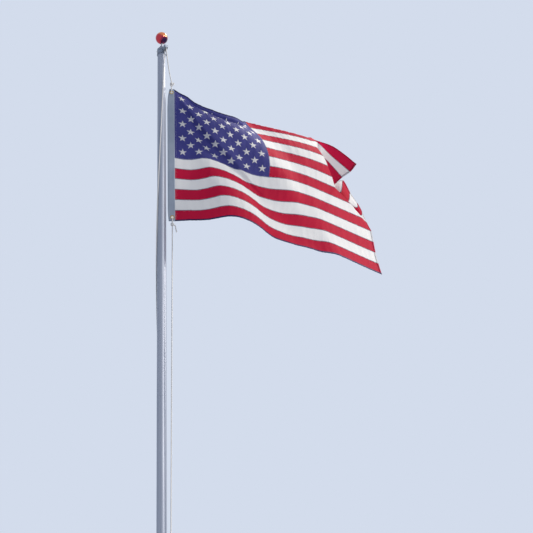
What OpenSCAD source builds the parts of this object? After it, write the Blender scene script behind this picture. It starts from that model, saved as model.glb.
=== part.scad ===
// Sectional aluminium flagpole with a cap truck, a rope halyard, a cleat and a sewn flag.
// Millimetres. The foot of the pole stands on the origin, +Z is up, the flag flies towards +X.

/* [Pole] */
// Outside diameter of the tubes
pole_d = 50.8; // [47:0.1:56]
// Wall thickness of the tubes
tube_wall = 1.6; // [1.3:0.1:2.4]
// Height from the ground to the end of the top tube
pole_h = 5262; // [5000:1:5600]
// Length that shows of each middle section
section_l = 1115; // [1040:1:1180]
// Length of the top section
top_section_l = 1128; // [1060:1:1190]
// Length of the swaged spigot inside the next tube
spigot_l = 100; // [70:1:130]

/* [Truck] */
// Length of tube that the cap covers
skirt_h = 32; // [26:1:40]
// Wall thickness of the cap
cap_wall = 3; // [2.5:0.1:4.5]
// Height of the cap's cone
cone_h = 18; // [12:1:26]
// Turn of the pulley housing round the pole, from the fly side
truck_turn = -65; // [-80:1:-50]
// Distance from the pole's axis to the axle of the sheave
sheave_reach = 56; // [53:1:64]
// Outside diameter of the sheave
sheave_d = 25; // [23:1:30]
// Width of the sheave
sheave_w = 11; // [10.5:0.1:13]
// Diameter of the axle
axle_d = 6.4; // [5:0.1:7]
// Thickness of each cheek of the housing
cheek_t = 3; // [2.5:0.1:5]

/* [Finial] */
// Diameter of the ball
ball_d = 76; // [66:1:90]
// Thickness of the ball's spun shell
ball_wall = 1.6; // [1.2:0.1:2.5]
// Diameter of the threaded spindle
spindle_d = 9.5; // [8:0.1:12.7]
// Length of spindle between the nut and the ball's collar
spindle_gap = 19.5; // [12:0.5:26]

/* [Halyard] */
// Diameter of the rope
rope_d = 6.4; // [5.6:0.1:6.8]
// Drop from the end of the top tube to where the rope meets the pole
wrap_drop = 806; // [700:1:900]
// Height above the cleat's middle at which the rope leaves the pole
wrap_lead = 100; // [94:1:140]

/* [Cleat] */
// Height of the cleat's middle
cleat_z = 1370; // [1250:1:1400]
// Turn of the cleat round the pole, from the fly side
cleat_turn = -40; // [-50:1:-30]
// Length from horn to horn
cleat_l = 152; // [140:1:170]

/* [Flag] */
// Height of the flag at the hoist
hoist = 914; // [860:1:960]
// Length of the flag from the hoist to the fly
fly = 1524; // [1440:1:1600]
// Width of the canvas heading
heading_w = 41; // [38:1:46]
// Drop from the end of the top tube to the flag's upper edge at the hoist
flag_drop = 313; // [290:1:340]
// Distance of the heading's outer edge from the pole's axis
hoist_x = 34; // [33:1:40]
// Distance of the heading in front of the pole's axis
hoist_y = 30; // [28:1:34]
// Thickness of the cloth panels
cloth_t = 1.2; // [1:0.1:2]
// Outside diameter of the grommets
grommet_d = 24; // [20:1:26]

/* [Hidden] */
$fn = 48;
fit = 0.05;
seat = 0.3;
over = 1;

// Tubes
pole_r = pole_d / 2;
bore_r = pole_r - tube_wall;
spigot_r = bore_r - fit;
spigot_bore_r = spigot_r - tube_wall;
bevel = 0.6;
swage_l = 20;
sections = 5;
seams = [for (k = [sections - 2:-1:0]) pole_h - top_section_l - k * section_l];

// Cap and pulley housing
skirt_z = pole_h - skirt_h;
skirt_r = pole_r + cap_wall;
lip = 1.2;
lip_h = 4;
cap_rise = 10;
shoulder_z = pole_h + cap_rise;
cone_top_z = shoulder_z + cone_h;
boss_r = 12;
boss_h = 7;
boss_draft = 1;
boss_z = cone_top_z + boss_h;
roof_z = pole_h + 1;
sheave_r = sheave_d / 2;
sheave_drop = 11;
sheave_z = pole_h - sheave_drop;
groove_depth = 3;
rope_r = rope_d / 2;
groove_r = rope_r + seat;
sheave_rope_r = sheave_r - groove_depth;
slot_gap = 1.6;
slot_r = sheave_r + slot_gap;
slot_w = sheave_w + slot_gap;
housing_w = slot_w + 2 * cheek_t;
housing_r = slot_r + cheek_t;
web_drop = 2;
axle_r = axle_d / 2;
axle_head_h = 2.2;
axle_rim = 2.3;
axle_head_r = axle_r + axle_rim;
screw_r = 3;
screw_l = 8;
socket_depth = 3;
socket_r = 1.8;

// Finial
spindle_r = spindle_d / 2;
nut_rim = 2.4;
nut_af = spindle_d + 2 * nut_rim;
nut_h = 5.5;
neck_h = 5;
neck_t = 4;
neck_r = spindle_r + neck_t;
neck_in = 13;
ball_r = ball_d / 2;
ball_z = boss_z + nut_h + spindle_gap + neck_h + ball_r;
spindle_in = 14;

// Cleat
cleat_half = cleat_l / 2;
stand_off = 24;
horn_t = 12;
horn_end_r = 4;
horn_rise = 7;
horn_run = 26;
cleat_w = 14;
leg_z = 22;
leg_d = 13;
pad_t = 6;
pad_sink = 3;
pad_half = leg_z + leg_d;
cleat_top = stand_off + horn_t;
cleat_depth = cleat_top + horn_rise + horn_end_r;
cleat_screw_r = 2.6;
cleat_head_r = 4.6;
cleat_head_h = 3;

// Heading and grommets
heading_t = 2;
flag_top = pole_h - flag_drop;
flag_foot = flag_top - hoist;
grommet_hole_r = 6.8;
grommet_t = 4;
grommet_in = 25;
barrel_t = 1.5;
flange_t = 1;
flange_off = heading_t / 2 + fit + flange_t / 2;
grommet_share = 0.62;
grommet_x = hoist_x + grommet_share * heading_w;
// Outer edge of the heading, slack between its grommets: shares of its width and of the hoist.
heading_bow = [[0.3, 0], [0.07, 0.065], [0, 0.15], [0, 0.93], [0.12, 1]];

// Cloth
seam_gap = 0.4;
cloth_l = fly - heading_w;
cloth_x = hoist_x + heading_w;
canton_share = 0.4;
canton_l = canton_share * fly - heading_w;
canton_stripes = 7;
all_stripes = 13;

// Each fold of the cloth: where it crosses the upper and the lower edge and how far its bend
// spreads, in shares of the cloth's length, then how far it turns the cloth to the back at the
// upper and the lower edge, and how far it tips the cloth down there, in degrees.
first_turn = [23, -15];
first_tip = [16.5, 4.5];
folds = [
    [0, 0.13, 0.12, -40, -6, -12, -34],
    [0.24, 0.2, 0.35, 71, -2, -9, 63],
    [-0.02, 0.23, 0.06, 46, 4, 35, 6],
    [-0.12, 0.63, 0.24, -26, -48, -15, -12],
    [0.17, 0.42, 0.1, 3, -24, -19, -9],
    [0.34, 0.66, 0.22, -32, 82, -47, 37],
    [0.65, 0.26, 0.4, 48, 73, -23, -30],
    [0.39, 0.66, 0.1, -45, -29, 61, -24]
];

// Crest at which the upper fly corner turns behind the rest: stripe and share of the length.
crest_line = [[0, 0.664], [2, 0.674], [4, 0.715], [6, 0.769], [7, 0.877], [8, 0.944], [9, 0.971]];
// Tucked corner, stripe by stripe down the fly: a point behind the crest, a point where the
// cloth comes out again, and a point on the fly edge. Each is out, back and down from the
// hoist's top, in shares of the flag's length, length and height.
tuck = [
    [[0.609, 0.302, 0.039], [0.692, 0.295, 0.108], [0.774, 0.243, 0.311]],
    [[0.628, 0.315, 0.054], [0.681, 0.302, 0.183], [0.741, 0.249, 0.367]],
    [[0.63, 0.328, 0.134], [0.663, 0.308, 0.219], [0.706, 0.256, 0.406]],
    [[0.635, 0.328, 0.22], [0.656, 0.302, 0.331], [0.671, 0.262, 0.46]],
    [[0.643, 0.318, 0.327], [0.693, 0.283, 0.5], [0.715, 0.295, 0.386]],
    [[0.656, 0.312, 0.409], [0.729, 0.315, 0.539], [0.753, 0.341, 0.439]],
    [[0.671, 0.318, 0.482], [0.769, 0.341, 0.562], [0.782, 0.354, 0.512]],
    [[0.754, 0.341, 0.57], [0.794, 0.358, 0.611], [0.802, 0.364, 0.572]],
    [[0.801, 0.356, 0.64], [0.81, 0.362, 0.652], [0.818, 0.367, 0.659]]
];
tuck_stripes = len(tuck);
tuck_spans = len(tuck[0]);
tuck_lead = 0.04;
tuck_past = 1.3;

rows_per_stripe = 2;
canton_cols = 16;
main_cols = 14;
tuck_cols = 12;
cloth_cols = canton_cols + main_cols + tuck_cols;
cloth_rows = all_stripes * rows_per_stripe;

function unit(v) = v / norm(v);
function mix(a, b, t) = a + (b - a) * t;
function clamp(v) = max(0, min(1, v));
function ease(v) = let (c = clamp(v)) c * c * (3 - 2 * c);
function polar(r, turn, z) = [r * cos(turn), r * sin(turn), z];
function last(v) = v[len(v) - 1];

// Smooth curve through points: the span after point i, and the whole of it in steps.
function spline(a, b, c, d, s) =
    0.5 * (2 * b + (c - a) * s + (2 * a - 5 * b + 4 * c - d) * s * s + (3 * b - a - 3 * c + d) * s * s * s);
function span_at(p, i, s) = spline(p[max(i - 1, 0)], p[i], p[i + 1], p[min(i + 2, len(p) - 1)], s);
function smooth(p, n) = [
    for (i = [0:len(p) - 2], k = [0:n - 1]) span_at(p, i, k / n),
    last(p)
];

// Turn and tip of the cloth at a distance u from the heading and a share t of the hoist.
function bend(u, t, f) = ease((u / cloth_l - mix(f[0], f[1], t)) / f[2] + 0.5);
function turn_at(u, t, k = 0) =
    k == len(folds) ? mix(first_turn[0], first_turn[1], t)
    : bend(u, t, folds[k]) * mix(folds[k][3], folds[k][4], t) + turn_at(u, t, k + 1);
function tip_at(u, t, k = 0) =
    k == len(folds) ? mix(first_tip[0], first_tip[1], t)
    : bend(u, t, folds[k]) * mix(folds[k][5], folds[k][6], t) + tip_at(u, t, k + 1);
function stride(u, t, du) =
    let (a = turn_at(u, t), b = tip_at(u, t)) du * [cos(a) * cos(b), sin(a) * cos(b), -sin(b)];

// Points of one row of the cloth at the distances us from the heading.
function row_start(t) = [cloth_x + seam_gap, -hoist_y, flag_top - hoist * t];
function walk(t, us) = [
    for (i = 0, p = row_start(t); i < len(us);
         p = i + 1 < len(us) ? p + stride((us[i] + us[i + 1]) / 2, t, us[i + 1] - us[i]) : p, i = i + 1) p
];
function crest_u(t) = cloth_l * lookup(t * all_stripes, crest_line);
function main_us(t) = concat(
    [for (i = [0:canton_cols]) canton_l * i / canton_cols],
    [for (i = [1:main_cols]) mix(canton_l, crest_u(t), i / main_cols)]
);
function fly_us(t) = [for (i = [1:tuck_cols]) mix(crest_u(t), cloth_l, i / tuck_cols)];
function flag_point(share) = row_start(0) + [fly * share[0], fly * share[1], -hoist * share[2]];

// The tuck's guide lines down the fly, the last point of each on the flat part of the cloth.
tuck_end = walk(
    tuck_stripes / all_stripes,
    concat(main_us(tuck_stripes / all_stripes), fly_us(tuck_stripes / all_stripes))
);
tuck_guides = [
    for (m = [0:tuck_spans - 1]) concat(
        [for (row = tuck) flag_point(row[m])],
        [tuck_end[canton_cols + main_cols + tuck_cols * (m + 1) / tuck_spans]]
    )
];
function guided(m, k) = span_at(tuck_guides[m], floor(k), k - floor(k));
function tuck_points(main, t) =
    let (
        crest = last(main),
        before = crest - tuck_lead * fly * unit(crest - main[len(main) - 2]),
        guides = [for (m = [0:tuck_spans - 1]) guided(m, t * all_stripes)],
        beyond = mix(guides[tuck_spans - 2], guides[tuck_spans - 1], tuck_past),
        p = concat([before, crest], guides, [beyond])
    )
    [
        for (i = [1:tuck_cols])
            let (v = tuck_spans * i / tuck_cols, s = min(floor(v), tuck_spans - 1))
            spline(p[s], p[s + 1], p[s + 2], p[s + 3], v - s)
    ];
function row_points(t) =
    let (main = walk(t, main_us(t)))
    t * all_stripes < tuck_stripes ? concat(main, tuck_points(main, t))
    : walk(t, concat(main_us(t), fly_us(t)));
cloth = [for (j = [0:cloth_rows]) row_points(j / cloth_rows)];
function cloth_normal(i, j) = unit(cross(
    cloth[j][min(i + 1, cloth_cols)] - cloth[j][max(i - 1, 0)],
    cloth[min(j + 1, cloth_rows)][i] - cloth[max(j - 1, 0)][i]));

// One panel of cloth: the part of the sheet between two columns and two rows.
module panel(i0, i1, j0, j1) {
    wide = i1 - i0 + 1;
    tall = j1 - j0 + 1;
    back = wide * tall;
    points = [
        for (side = [1, -1], j = [j0:j1], i = [i0:i1])
            cloth[j][i] + side * cloth_t / 2 * cloth_normal(i, j)
    ];
    faces = [
        for (j = [0:tall - 2], i = [0:wide - 2])
            let (a = j * wide + i, b = a + 1, c = a + wide + 1, d = a + wide)
            each [[a, b, c], [a, c, d], [a + back, c + back, b + back], [a + back, d + back, c + back]]
    ];
    rim = concat(
        [for (i = [0:wide - 2]) i],
        [for (j = [0:tall - 2]) (j + 1) * wide - 1],
        [for (i = [wide - 1:-1:1]) (tall - 1) * wide + i],
        [for (j = [tall - 1:-1:1]) j * wide]
    );
    edge = [
        for (n = [0:len(rim) - 1])
            let (a = rim[n], b = rim[(n + 1) % len(rim)])
            each a < b ? [[a, a + back, b], [b, a + back, b + back]]
                : [[a, a + back, b + back], [a, b + back, b]]
    ];
    polyhedron(points = points, faces = concat(faces, edge), convexity = 8);
}

function tangent(p, i) = unit(p[min(i + 1, len(p) - 1)] - p[max(i - 1, 0)]);
function carried(n, t) = unit(n - (n * t) * t);
function frames(p) = [
    for (i = 0, n = carried(rope_side, tangent(p, 0)); i < len(p);
         i = i + 1, n = i < len(p) ? carried(n, tangent(p, i)) : n) n
];

// A rope along a route, as rings of points carried along it.
module rope(p) {
    normals = frames(p);
    sides = rope_sides;
    end = len(p) - 1;
    rings = [
        for (i = [0:end], k = [0:sides - 1])
            let (n = normals[i], b = cross(tangent(p, i), n), a = 360 * k / sides)
            p[i] + rope_r * (cos(a) * n + sin(a) * b)
    ];
    walls = [
        for (i = [0:end - 1], k = [0:sides - 1])
            let (a = i * sides + k, b = i * sides + (k + 1) % sides) [a, a + sides, b + sides, b]
    ];
    caps = [
        [for (k = [0:sides - 1]) k],
        [for (k = [sides - 1:-1:0]) end * sides + k]
    ];
    polyhedron(points = rings, faces = concat(walls, caps), convexity = 8);
}

module section(k) {
    from = k == 1 ? 0 : seams[k - 2];
    to = k == sections ? pole_h : seams[k - 1];
    foot_bevel = k == 1 ? 0 : bevel;
    color("silver")
    rotate_extrude()
    if (k == sections)
        polygon([
            [bore_r, from], [pole_r - foot_bevel, from], [pole_r, from + foot_bevel],
            [pole_r, to], [bore_r, to]
        ]);
    else
        polygon([
            [bore_r, from], [pole_r - foot_bevel, from], [pole_r, from + foot_bevel],
            [pole_r, to - bevel], [pole_r - bevel, to], [spigot_r, to], [spigot_r, to + spigot_l],
            [spigot_bore_r, to + spigot_l], [spigot_bore_r, to - swage_l + tube_wall], [bore_r, to - swage_l]
        ]);
}

// The housing's plane: x out from the pole, y up.
module on_housing() {
    rotate([0, 0, truck_turn])
    rotate([90, 0, 0])
    children();
}

module truck_cap() {
    color("lightsteelblue")
    difference() {
        union() {
            rotate_extrude()
            polygon([
                [0, skirt_z], [skirt_r + lip, skirt_z], [skirt_r + lip, skirt_z + lip_h],
                [skirt_r, skirt_z + lip_h + lip], [skirt_r, shoulder_z], [boss_r + boss_draft, cone_top_z],
                [boss_r, boss_z], [0, boss_z]
            ]);
            on_housing()
            linear_extrude(height = housing_w, center = true)
            hull() {
                translate([sheave_reach, sheave_z])
                circle(housing_r);
                translate([pole_r, skirt_z + lip_h])
                square([cap_wall, shoulder_z - skirt_z - lip_h - web_drop]);
            }
        }
        translate([0, 0, skirt_z - over])
        cylinder(r = pole_r + fit, h = skirt_h + over);
        translate([0, 0, roof_z])
        cylinder(r = spindle_r + fit, h = boss_z);
        on_housing() {
            linear_extrude(height = slot_w, center = true)
            union() {
                translate([sheave_reach, sheave_z])
                circle(slot_r);
                translate([sheave_reach - slot_r, sheave_z - 2 * housing_r])
                square([2 * slot_r, 2 * housing_r]);
            }
            translate([sheave_reach, sheave_z])
            cylinder(r = axle_r + fit, h = 2 * housing_w, center = true);
        }
        for (side = [0, 180])
            on_screw(side)
            translate([0, 0, -over])
            cylinder(r = screw_r + fit, h = 2 * cap_wall);
    }
}

// A set screw's place, its axis out from the tube's surface.
module on_screw(side) {
    rotate([0, 0, side + truck_turn + 90])
    translate([pole_r + fit, 0, skirt_z + skirt_h / 2])
    rotate([0, 90, 0])
    children();
}

module truck_screw(side) {
    color("dimgray")
    on_screw(side)
    difference() {
        cylinder(r = screw_r, h = screw_l);
        translate([0, 0, screw_l - socket_depth])
        cylinder(r = socket_r, h = socket_depth + over, $fn = 6);
    }
}

module sheave() {
    color("saddlebrown")
    on_housing()
    translate([sheave_reach, sheave_z])
    rotate_extrude()
    difference() {
        translate([axle_r + fit, -sheave_w / 2])
        square([sheave_r - axle_r - fit, sheave_w]);
        translate([sheave_rope_r, 0])
        circle(groove_r);
        polygon([
            [sheave_rope_r, -groove_r], [sheave_r + over, -groove_r - over],
            [sheave_r + over, groove_r + over], [sheave_rope_r, groove_r]
        ]);
    }
}

module sheave_pin() {
    color("gainsboro")
    on_housing()
    translate([sheave_reach, sheave_z])
    union() {
        cylinder(r = axle_r, h = housing_w + axle_head_h, center = true);
        for (side = [-1, 1])
            translate([0, 0, side * (housing_w + axle_head_h) / 2])
            cylinder(r = axle_head_r, h = axle_head_h, center = true);
    }
}

module finial_spindle() {
    color("silver")
    translate([0, 0, roof_z])
    cylinder(r = spindle_r, h = ball_z - ball_r + spindle_in - roof_z);
}

module finial_nut() {
    color("silver")
    translate([0, 0, boss_z])
    difference() {
        cylinder(r = nut_af / sqrt(3), h = nut_h, $fn = 6);
        translate([0, 0, -over])
        cylinder(r = spindle_r + fit, h = nut_h + 2 * over);
    }
}

module finial_ball() {
    color("goldenrod")
    translate([0, 0, ball_z])
    rotate_extrude($fn = 64)
    difference() {
        union() {
            difference() {
                circle(ball_r);
                circle(ball_r - ball_wall);
            }
            translate([0, -ball_r - neck_h])
            square([neck_r, neck_h + neck_in + tube_wall]);
        }
        translate([-2 * ball_r, -2 * ball_r])
        square([2 * ball_r + spindle_r + fit, 2 * ball_r]);
        translate([-2 * ball_r, -over])
        square([2 * ball_r, 3 * ball_r]);
    }
}

// Side view of the cleat: out from the pole's surface along x, up along y.
module cleat_side() {
    translate([stand_off, -cleat_half + horn_run])
    square([horn_t, cleat_l - 2 * horn_run]);
    for (end = [-1, 1]) {
        hull() {
            translate([stand_off + horn_t / 2, end * (cleat_half - horn_run)])
            circle(horn_t / 2);
            translate([stand_off + horn_t / 2 + horn_rise, end * (cleat_half - horn_end_r)])
            circle(horn_end_r);
        }
        translate([0, end * leg_z - leg_d / 2])
        square([stand_off + over, leg_d]);
    }
    translate([-pad_sink, -pad_half])
    square([pad_t + pad_sink, 2 * pad_half]);
}

// Front view of the cleat: a boat shape that narrows to the horns' round ends.
module cleat_front() {
    hull() {
        for (end = [-1, 1])
            translate([end * (cleat_half - horn_end_r), 0])
            circle(horn_end_r);
        square([2 * pad_half - leg_d, cleat_w], center = true);
    }
}

module on_cleat() {
    rotate([0, 0, cleat_turn])
    translate([pole_r, 0, cleat_z])
    children();
}

module cleat() {
    color("silver")
    difference() {
        on_cleat()
        intersection() {
            rotate([90, 0, 0])
            linear_extrude(height = cleat_w, center = true)
            cleat_side();
            rotate([0, 90, 0])
            translate([0, 0, -pad_sink - over])
            linear_extrude(height = cleat_depth + pad_sink + 2 * over)
            cleat_front();
        }
        cylinder(r = pole_r + fit, h = pole_h, $fn = 96);
        on_cleat()
        for (end = [-1, 1])
            translate([-over, 0, end * leg_z])
            rotate([0, 90, 0]) {
                cylinder(r = cleat_screw_r + fit, h = cleat_depth);
                translate([0, 0, cleat_top + over - cleat_head_h])
                cylinder(r = cleat_head_r + fit, h = cleat_depth);
            }
    }
}

module cleat_screw(end) {
    color("dimgray")
    on_cleat()
    translate([0, 0, end * leg_z])
    rotate([0, 90, 0])
    union() {
        translate([0, 0, fit])
        cylinder(r = cleat_screw_r, h = cleat_top - cleat_head_h - fit);
        translate([0, 0, cleat_top - cleat_head_h])
        cylinder(r = cleat_head_r, h = cleat_head_h);
    }
}

// Halyard: a leg from the flag up to the sheave, over it, across to the pole and round it.
rope_sides = 8;
rope_side = [0.3, 1, 0.1];
rope_steps = 3;
rope_turn = 15;
wrap_r = pole_r + rope_r + seat;
wrap_top = pole_h - wrap_drop;
wrap_foot = cleat_z + wrap_lead;
wrap_steps = 26;
sheave_axis = polar(sheave_reach, truck_turn, sheave_z);
leg_in_r = sheave_reach - sheave_rope_r;
leg_out = polar(sheave_reach + sheave_rope_r, truck_turn, sheave_z - housing_r - web_drop);
touch_turn = 360 + truck_turn - acos(wrap_r / leg_in_r);
knot_turns = 3;
turn_lap = 1;
turn_h = rope_d - turn_lap;
knot_h = knot_turns * turn_h;
knot_slack = 0.8;
knot_core_r = rope_d + knot_slack;
knot_gap = 26;
knot_drop = 10;
leg_in = rope_r + fit;
leg_y = grommet_t / 2 + rope_r + seat;
knot_up = [grommet_x, -hoist_y, flag_top + knot_gap];
knot_low = [grommet_x, -hoist_y, flag_foot - knot_drop - knot_h];
knot_end = knot_up + [0, 0, knot_h];
lead_l = 12;
// Share of the way from the knot to the sheave, along each axis, at which the leg bows.
bow_share = [0.5, 0.3, 0.42];
upper_route = concat(
    [knot_end],
    smooth([
        knot_end + [0, 0, lead_l],
        [for (m = [0:2]) mix(knot_end[m], leg_out[m], bow_share[m])],
        leg_out
    ], rope_steps),
    [for (a = [0:rope_turn:180])
        sheave_axis + polar(sheave_rope_r * cos(a), truck_turn, sheave_rope_r * sin(a))],
    [for (k = [0:wrap_steps])
        polar(wrap_r, mix(touch_turn, cleat_turn, k / wrap_steps), mix(wrap_top, wrap_foot, k / wrap_steps))]
);

// Rope on the cleat: out from the pole's surface, sideways, and up from the cleat's middle.
turns = [
    [rope_r + seat, 0, wrap_lead], [5, -13, 60], [5, -14, 30], [5, -14, -10], [9, -12, -28],
    [13, 0, -39], [20, 12, -28], [36, 12, -15], [41, 0, 0], [36, -12, 15], [22, -13, 28],
    [14, 0, 39], [22, 13, 28], [43, 12, 14], [48, 0, 0], [43, -12, -14], [26, -14, -28],
    [19, 0, -47], [26, 14, -28], [50, 12, -14], [55, 0, 0], [50, -12, 14], [27, -15, 30],
    [18, 0, 48], [16, 11, 62], [14, 10, 80]
];
sideways = [-sin(cleat_turn), cos(cleat_turn), 0];
function from_cleat(p) = polar(pole_r + p[0], cleat_turn, cleat_z + p[2]) + sideways * p[1];
turns_route = smooth([for (p = turns) from_cleat(p)], rope_steps);
lower_start = last(turns_route);
lower_route = [lower_start, lower_start + [0, 0, lead_l], knot_low - [0, 0, lead_l], knot_low];

module halyard_upper() {
    color("white")
    rope(upper_route);
}

module halyard_turns() {
    color("white")
    rope(turns_route);
}

module halyard_lower() {
    color("white")
    rope(lower_route);
}

module heading() {
    color("lightgray")
    translate([0, -hoist_y, 0])
    rotate([90, 0, 0])
    linear_extrude(height = heading_t, center = true)
    difference() {
        polygon(concat(
            [for (b = heading_bow) [hoist_x + b[0] * heading_w, flag_top - b[1] * hoist]],
            [[cloth_x, flag_foot], [cloth_x, flag_top]]
        ));
        for (z = [flag_top - grommet_in, flag_foot + grommet_in])
            translate([grommet_x, z])
            circle(grommet_hole_r + barrel_t);
    }
}

module grommet(z) {
    color("goldenrod")
    translate([grommet_x, -hoist_y, z])
    rotate([90, 0, 0])
    rotate_extrude()
    union() {
        translate([grommet_hole_r, -grommet_t / 2])
        square([barrel_t - fit, grommet_t]);
        for (side = [-1, 1])
            translate([grommet_hole_r, side * flange_off - flange_t / 2])
            square([grommet_d / 2 - grommet_hole_r, flange_t]);
    }
}

module stripe(k) {
    color(k % 2 == 1 ? "firebrick" : "whitesmoke")
    panel(k <= canton_stripes ? canton_cols : 0, cloth_cols, (k - 1) * rows_per_stripe, k * rows_per_stripe);
}

module canton() {
    color("darkslateblue")
    panel(0, canton_cols, 0, canton_stripes * rows_per_stripe);
}

// Loop through a grommet, round its rim, with both legs drawn together past the heading's edge.
function loop_route(from_z, edge_z, rim_z, way) = concat(
    [[0, -leg_in, from_z + way * over], [0, -leg_in, from_z - way * over], [0, -leg_y, edge_z]],
    [for (a = [0:rope_turn:180]) [0, -leg_y * cos(a), rim_z - way * leg_y * sin(a)]],
    [[0, leg_y, edge_z], [0, leg_in, from_z - way * over], [0, leg_in, from_z + way * over]]
);

// The loop with a barrel of turns beyond the heading's edge; way is 1 upwards, -1 downwards.
module knot(at, edge_z, way) {
    rim_z = edge_z - way * (grommet_in - grommet_hole_r);
    color("white")
    union() {
        translate([at[0], at[1], 0])
        rope(loop_route(at[2] + (way > 0 ? 0 : knot_h), edge_z, rim_z, way));
        translate(at)
        rotate_extrude() {
            square([knot_core_r, knot_h]);
            for (k = [0:knot_turns - 1])
                translate([knot_core_r, (k + 0.5) * turn_h])
                circle(rope_r);
        }
    }
}

section(1);  // pole_section_1
section(2);  // pole_section_2
section(3);  // pole_section_3
section(4);  // pole_section_4
section(5);  // pole_section_5
truck_cap();
truck_screw(0);  // truck_screw_left
truck_screw(180);  // truck_screw_right
sheave();
sheave_pin();
finial_spindle();
finial_nut();
finial_ball();
halyard_upper();
halyard_turns();
halyard_lower();
knot(knot_up, flag_top, 1);  // knot_upper
knot(knot_low, flag_foot, -1);  // knot_lower
cleat();
cleat_screw(1);  // cleat_screw_top
cleat_screw(-1);  // cleat_screw_bottom
heading();
grommet(flag_top - grommet_in);  // grommet_upper
grommet(flag_foot + grommet_in);  // grommet_lower
canton();
stripe(1);  // stripe_01
stripe(2);  // stripe_02
stripe(3);  // stripe_03
stripe(4);  // stripe_04
stripe(5);  // stripe_05
stripe(6);  // stripe_06
stripe(7);  // stripe_07
stripe(8);  // stripe_08
stripe(9);  // stripe_09
stripe(10);  // stripe_10
stripe(11);  // stripe_11
stripe(12);  // stripe_12
stripe(13);  // stripe_13
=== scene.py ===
"""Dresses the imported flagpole: metal finishes, braided halyard, sewn flag, studio and camera.

The pole stands on the origin, +Z is up and the flag flies towards +X. Shapes are worked out in
millimetres, as in the part's own source, and turned to metres where a mesh is made.
"""

import logging
import math
from dataclasses import dataclass, field
from enum import Enum
from typing import Iterator, Optional, Sequence

import bpy
import numpy as np
from mathutils import Euler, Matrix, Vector

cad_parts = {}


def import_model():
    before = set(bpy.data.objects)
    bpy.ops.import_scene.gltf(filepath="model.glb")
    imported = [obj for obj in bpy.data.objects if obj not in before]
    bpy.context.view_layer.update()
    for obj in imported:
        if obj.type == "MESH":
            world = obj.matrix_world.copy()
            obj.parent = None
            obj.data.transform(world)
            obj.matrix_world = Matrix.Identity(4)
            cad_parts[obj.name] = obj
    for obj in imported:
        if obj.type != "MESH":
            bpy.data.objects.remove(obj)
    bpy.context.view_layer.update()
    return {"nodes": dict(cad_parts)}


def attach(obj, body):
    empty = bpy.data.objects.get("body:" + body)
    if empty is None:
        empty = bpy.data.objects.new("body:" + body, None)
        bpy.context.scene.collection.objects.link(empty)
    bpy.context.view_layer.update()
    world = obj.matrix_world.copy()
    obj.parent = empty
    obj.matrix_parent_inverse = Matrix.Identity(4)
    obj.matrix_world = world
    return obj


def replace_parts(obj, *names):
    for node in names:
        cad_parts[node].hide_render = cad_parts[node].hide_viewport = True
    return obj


LOG = logging.getLogger("flagpole")
MM = 0.001

Tree = bpy.types.NodeTree
Socket = bpy.types.NodeSocket
Point = tuple[float, float, float]
Pair = tuple[float, float]

# Angles along half a turn, every 15 degrees.
HALF_TURN = np.radians(range(0, 181, 15))


class Body(Enum):
    """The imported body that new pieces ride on."""

    POLE = "pole"


class Slot(Enum):
    """Names of the record's material slots; new pieces are passed one, which nothing reads."""

    GILT = "gilt"
    ROPE = "rope"
    CANVAS = "canvas"
    RED_CLOTH = "red_cloth"
    WHITE_CLOTH = "white_cloth"


def linear(hex_colour: str) -> tuple[float, float, float, float]:
    """Turns an sRGB hex colour to linear light.

    Args:
        hex_colour: Six hex digits after a hash sign.

    Returns:
        Red, green and blue in linear light, and an alpha of 1.
    """
    parts = [int(hex_colour[i : i + 2], 16) / 255 for i in (1, 3, 5)]
    red, green, blue = (
        c / 12.92 if c <= 0.04045 else ((c + 0.055) / 1.055) ** 2.4 for c in parts
    )
    return red, green, blue, 1.0


def add_node(
    tree: Tree,
    kind: str,
    settings: Optional[dict] = None,
    links: Optional[dict] = None,
) -> bpy.types.Node:
    """Adds a shader node with its settings and the links into it.

    Args:
        tree: The material's or the world's node tree.
        kind: The node's type, without its ShaderNode prefix.
        settings: Properties by name, and input values by socket name or number.
        links: The sockets that feed inputs, by socket name or number.

    Returns:
        The new node.
    """
    node = tree.nodes.new("ShaderNode" + kind)
    for key, value in (settings or {}).items():
        if isinstance(key, str) and hasattr(node, key):
            setattr(node, key, value)
        else:
            node.inputs[key].default_value = value
    for key, socket in (links or {}).items():
        tree.links.new(socket, node.inputs[key])
    return node


@dataclass(frozen=True)
class Finish:
    """A finish makes its material once and gives the same one to every piece that asks."""

    name: str

    def material(self) -> bpy.types.Material:
        """Gives this finish's material.

        Returns:
            The material, made at the first call.
        """
        made = bpy.data.materials.get(self.name)
        if made is None:
            made = bpy.data.materials.new(self.name)
            made.use_nodes = True
            made.node_tree.nodes.clear()
            surface = self.surface(made.node_tree)
            add_node(made.node_tree, "OutputMaterial", links={"Surface": surface})
        return made

    def surface(self, tree: Tree) -> Socket:
        """Builds the finish's shader.

        Args:
            tree: The material's empty node tree.

        Returns:
            The shader socket that feeds the material's output.
        """
        raise NotImplementedError


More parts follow.
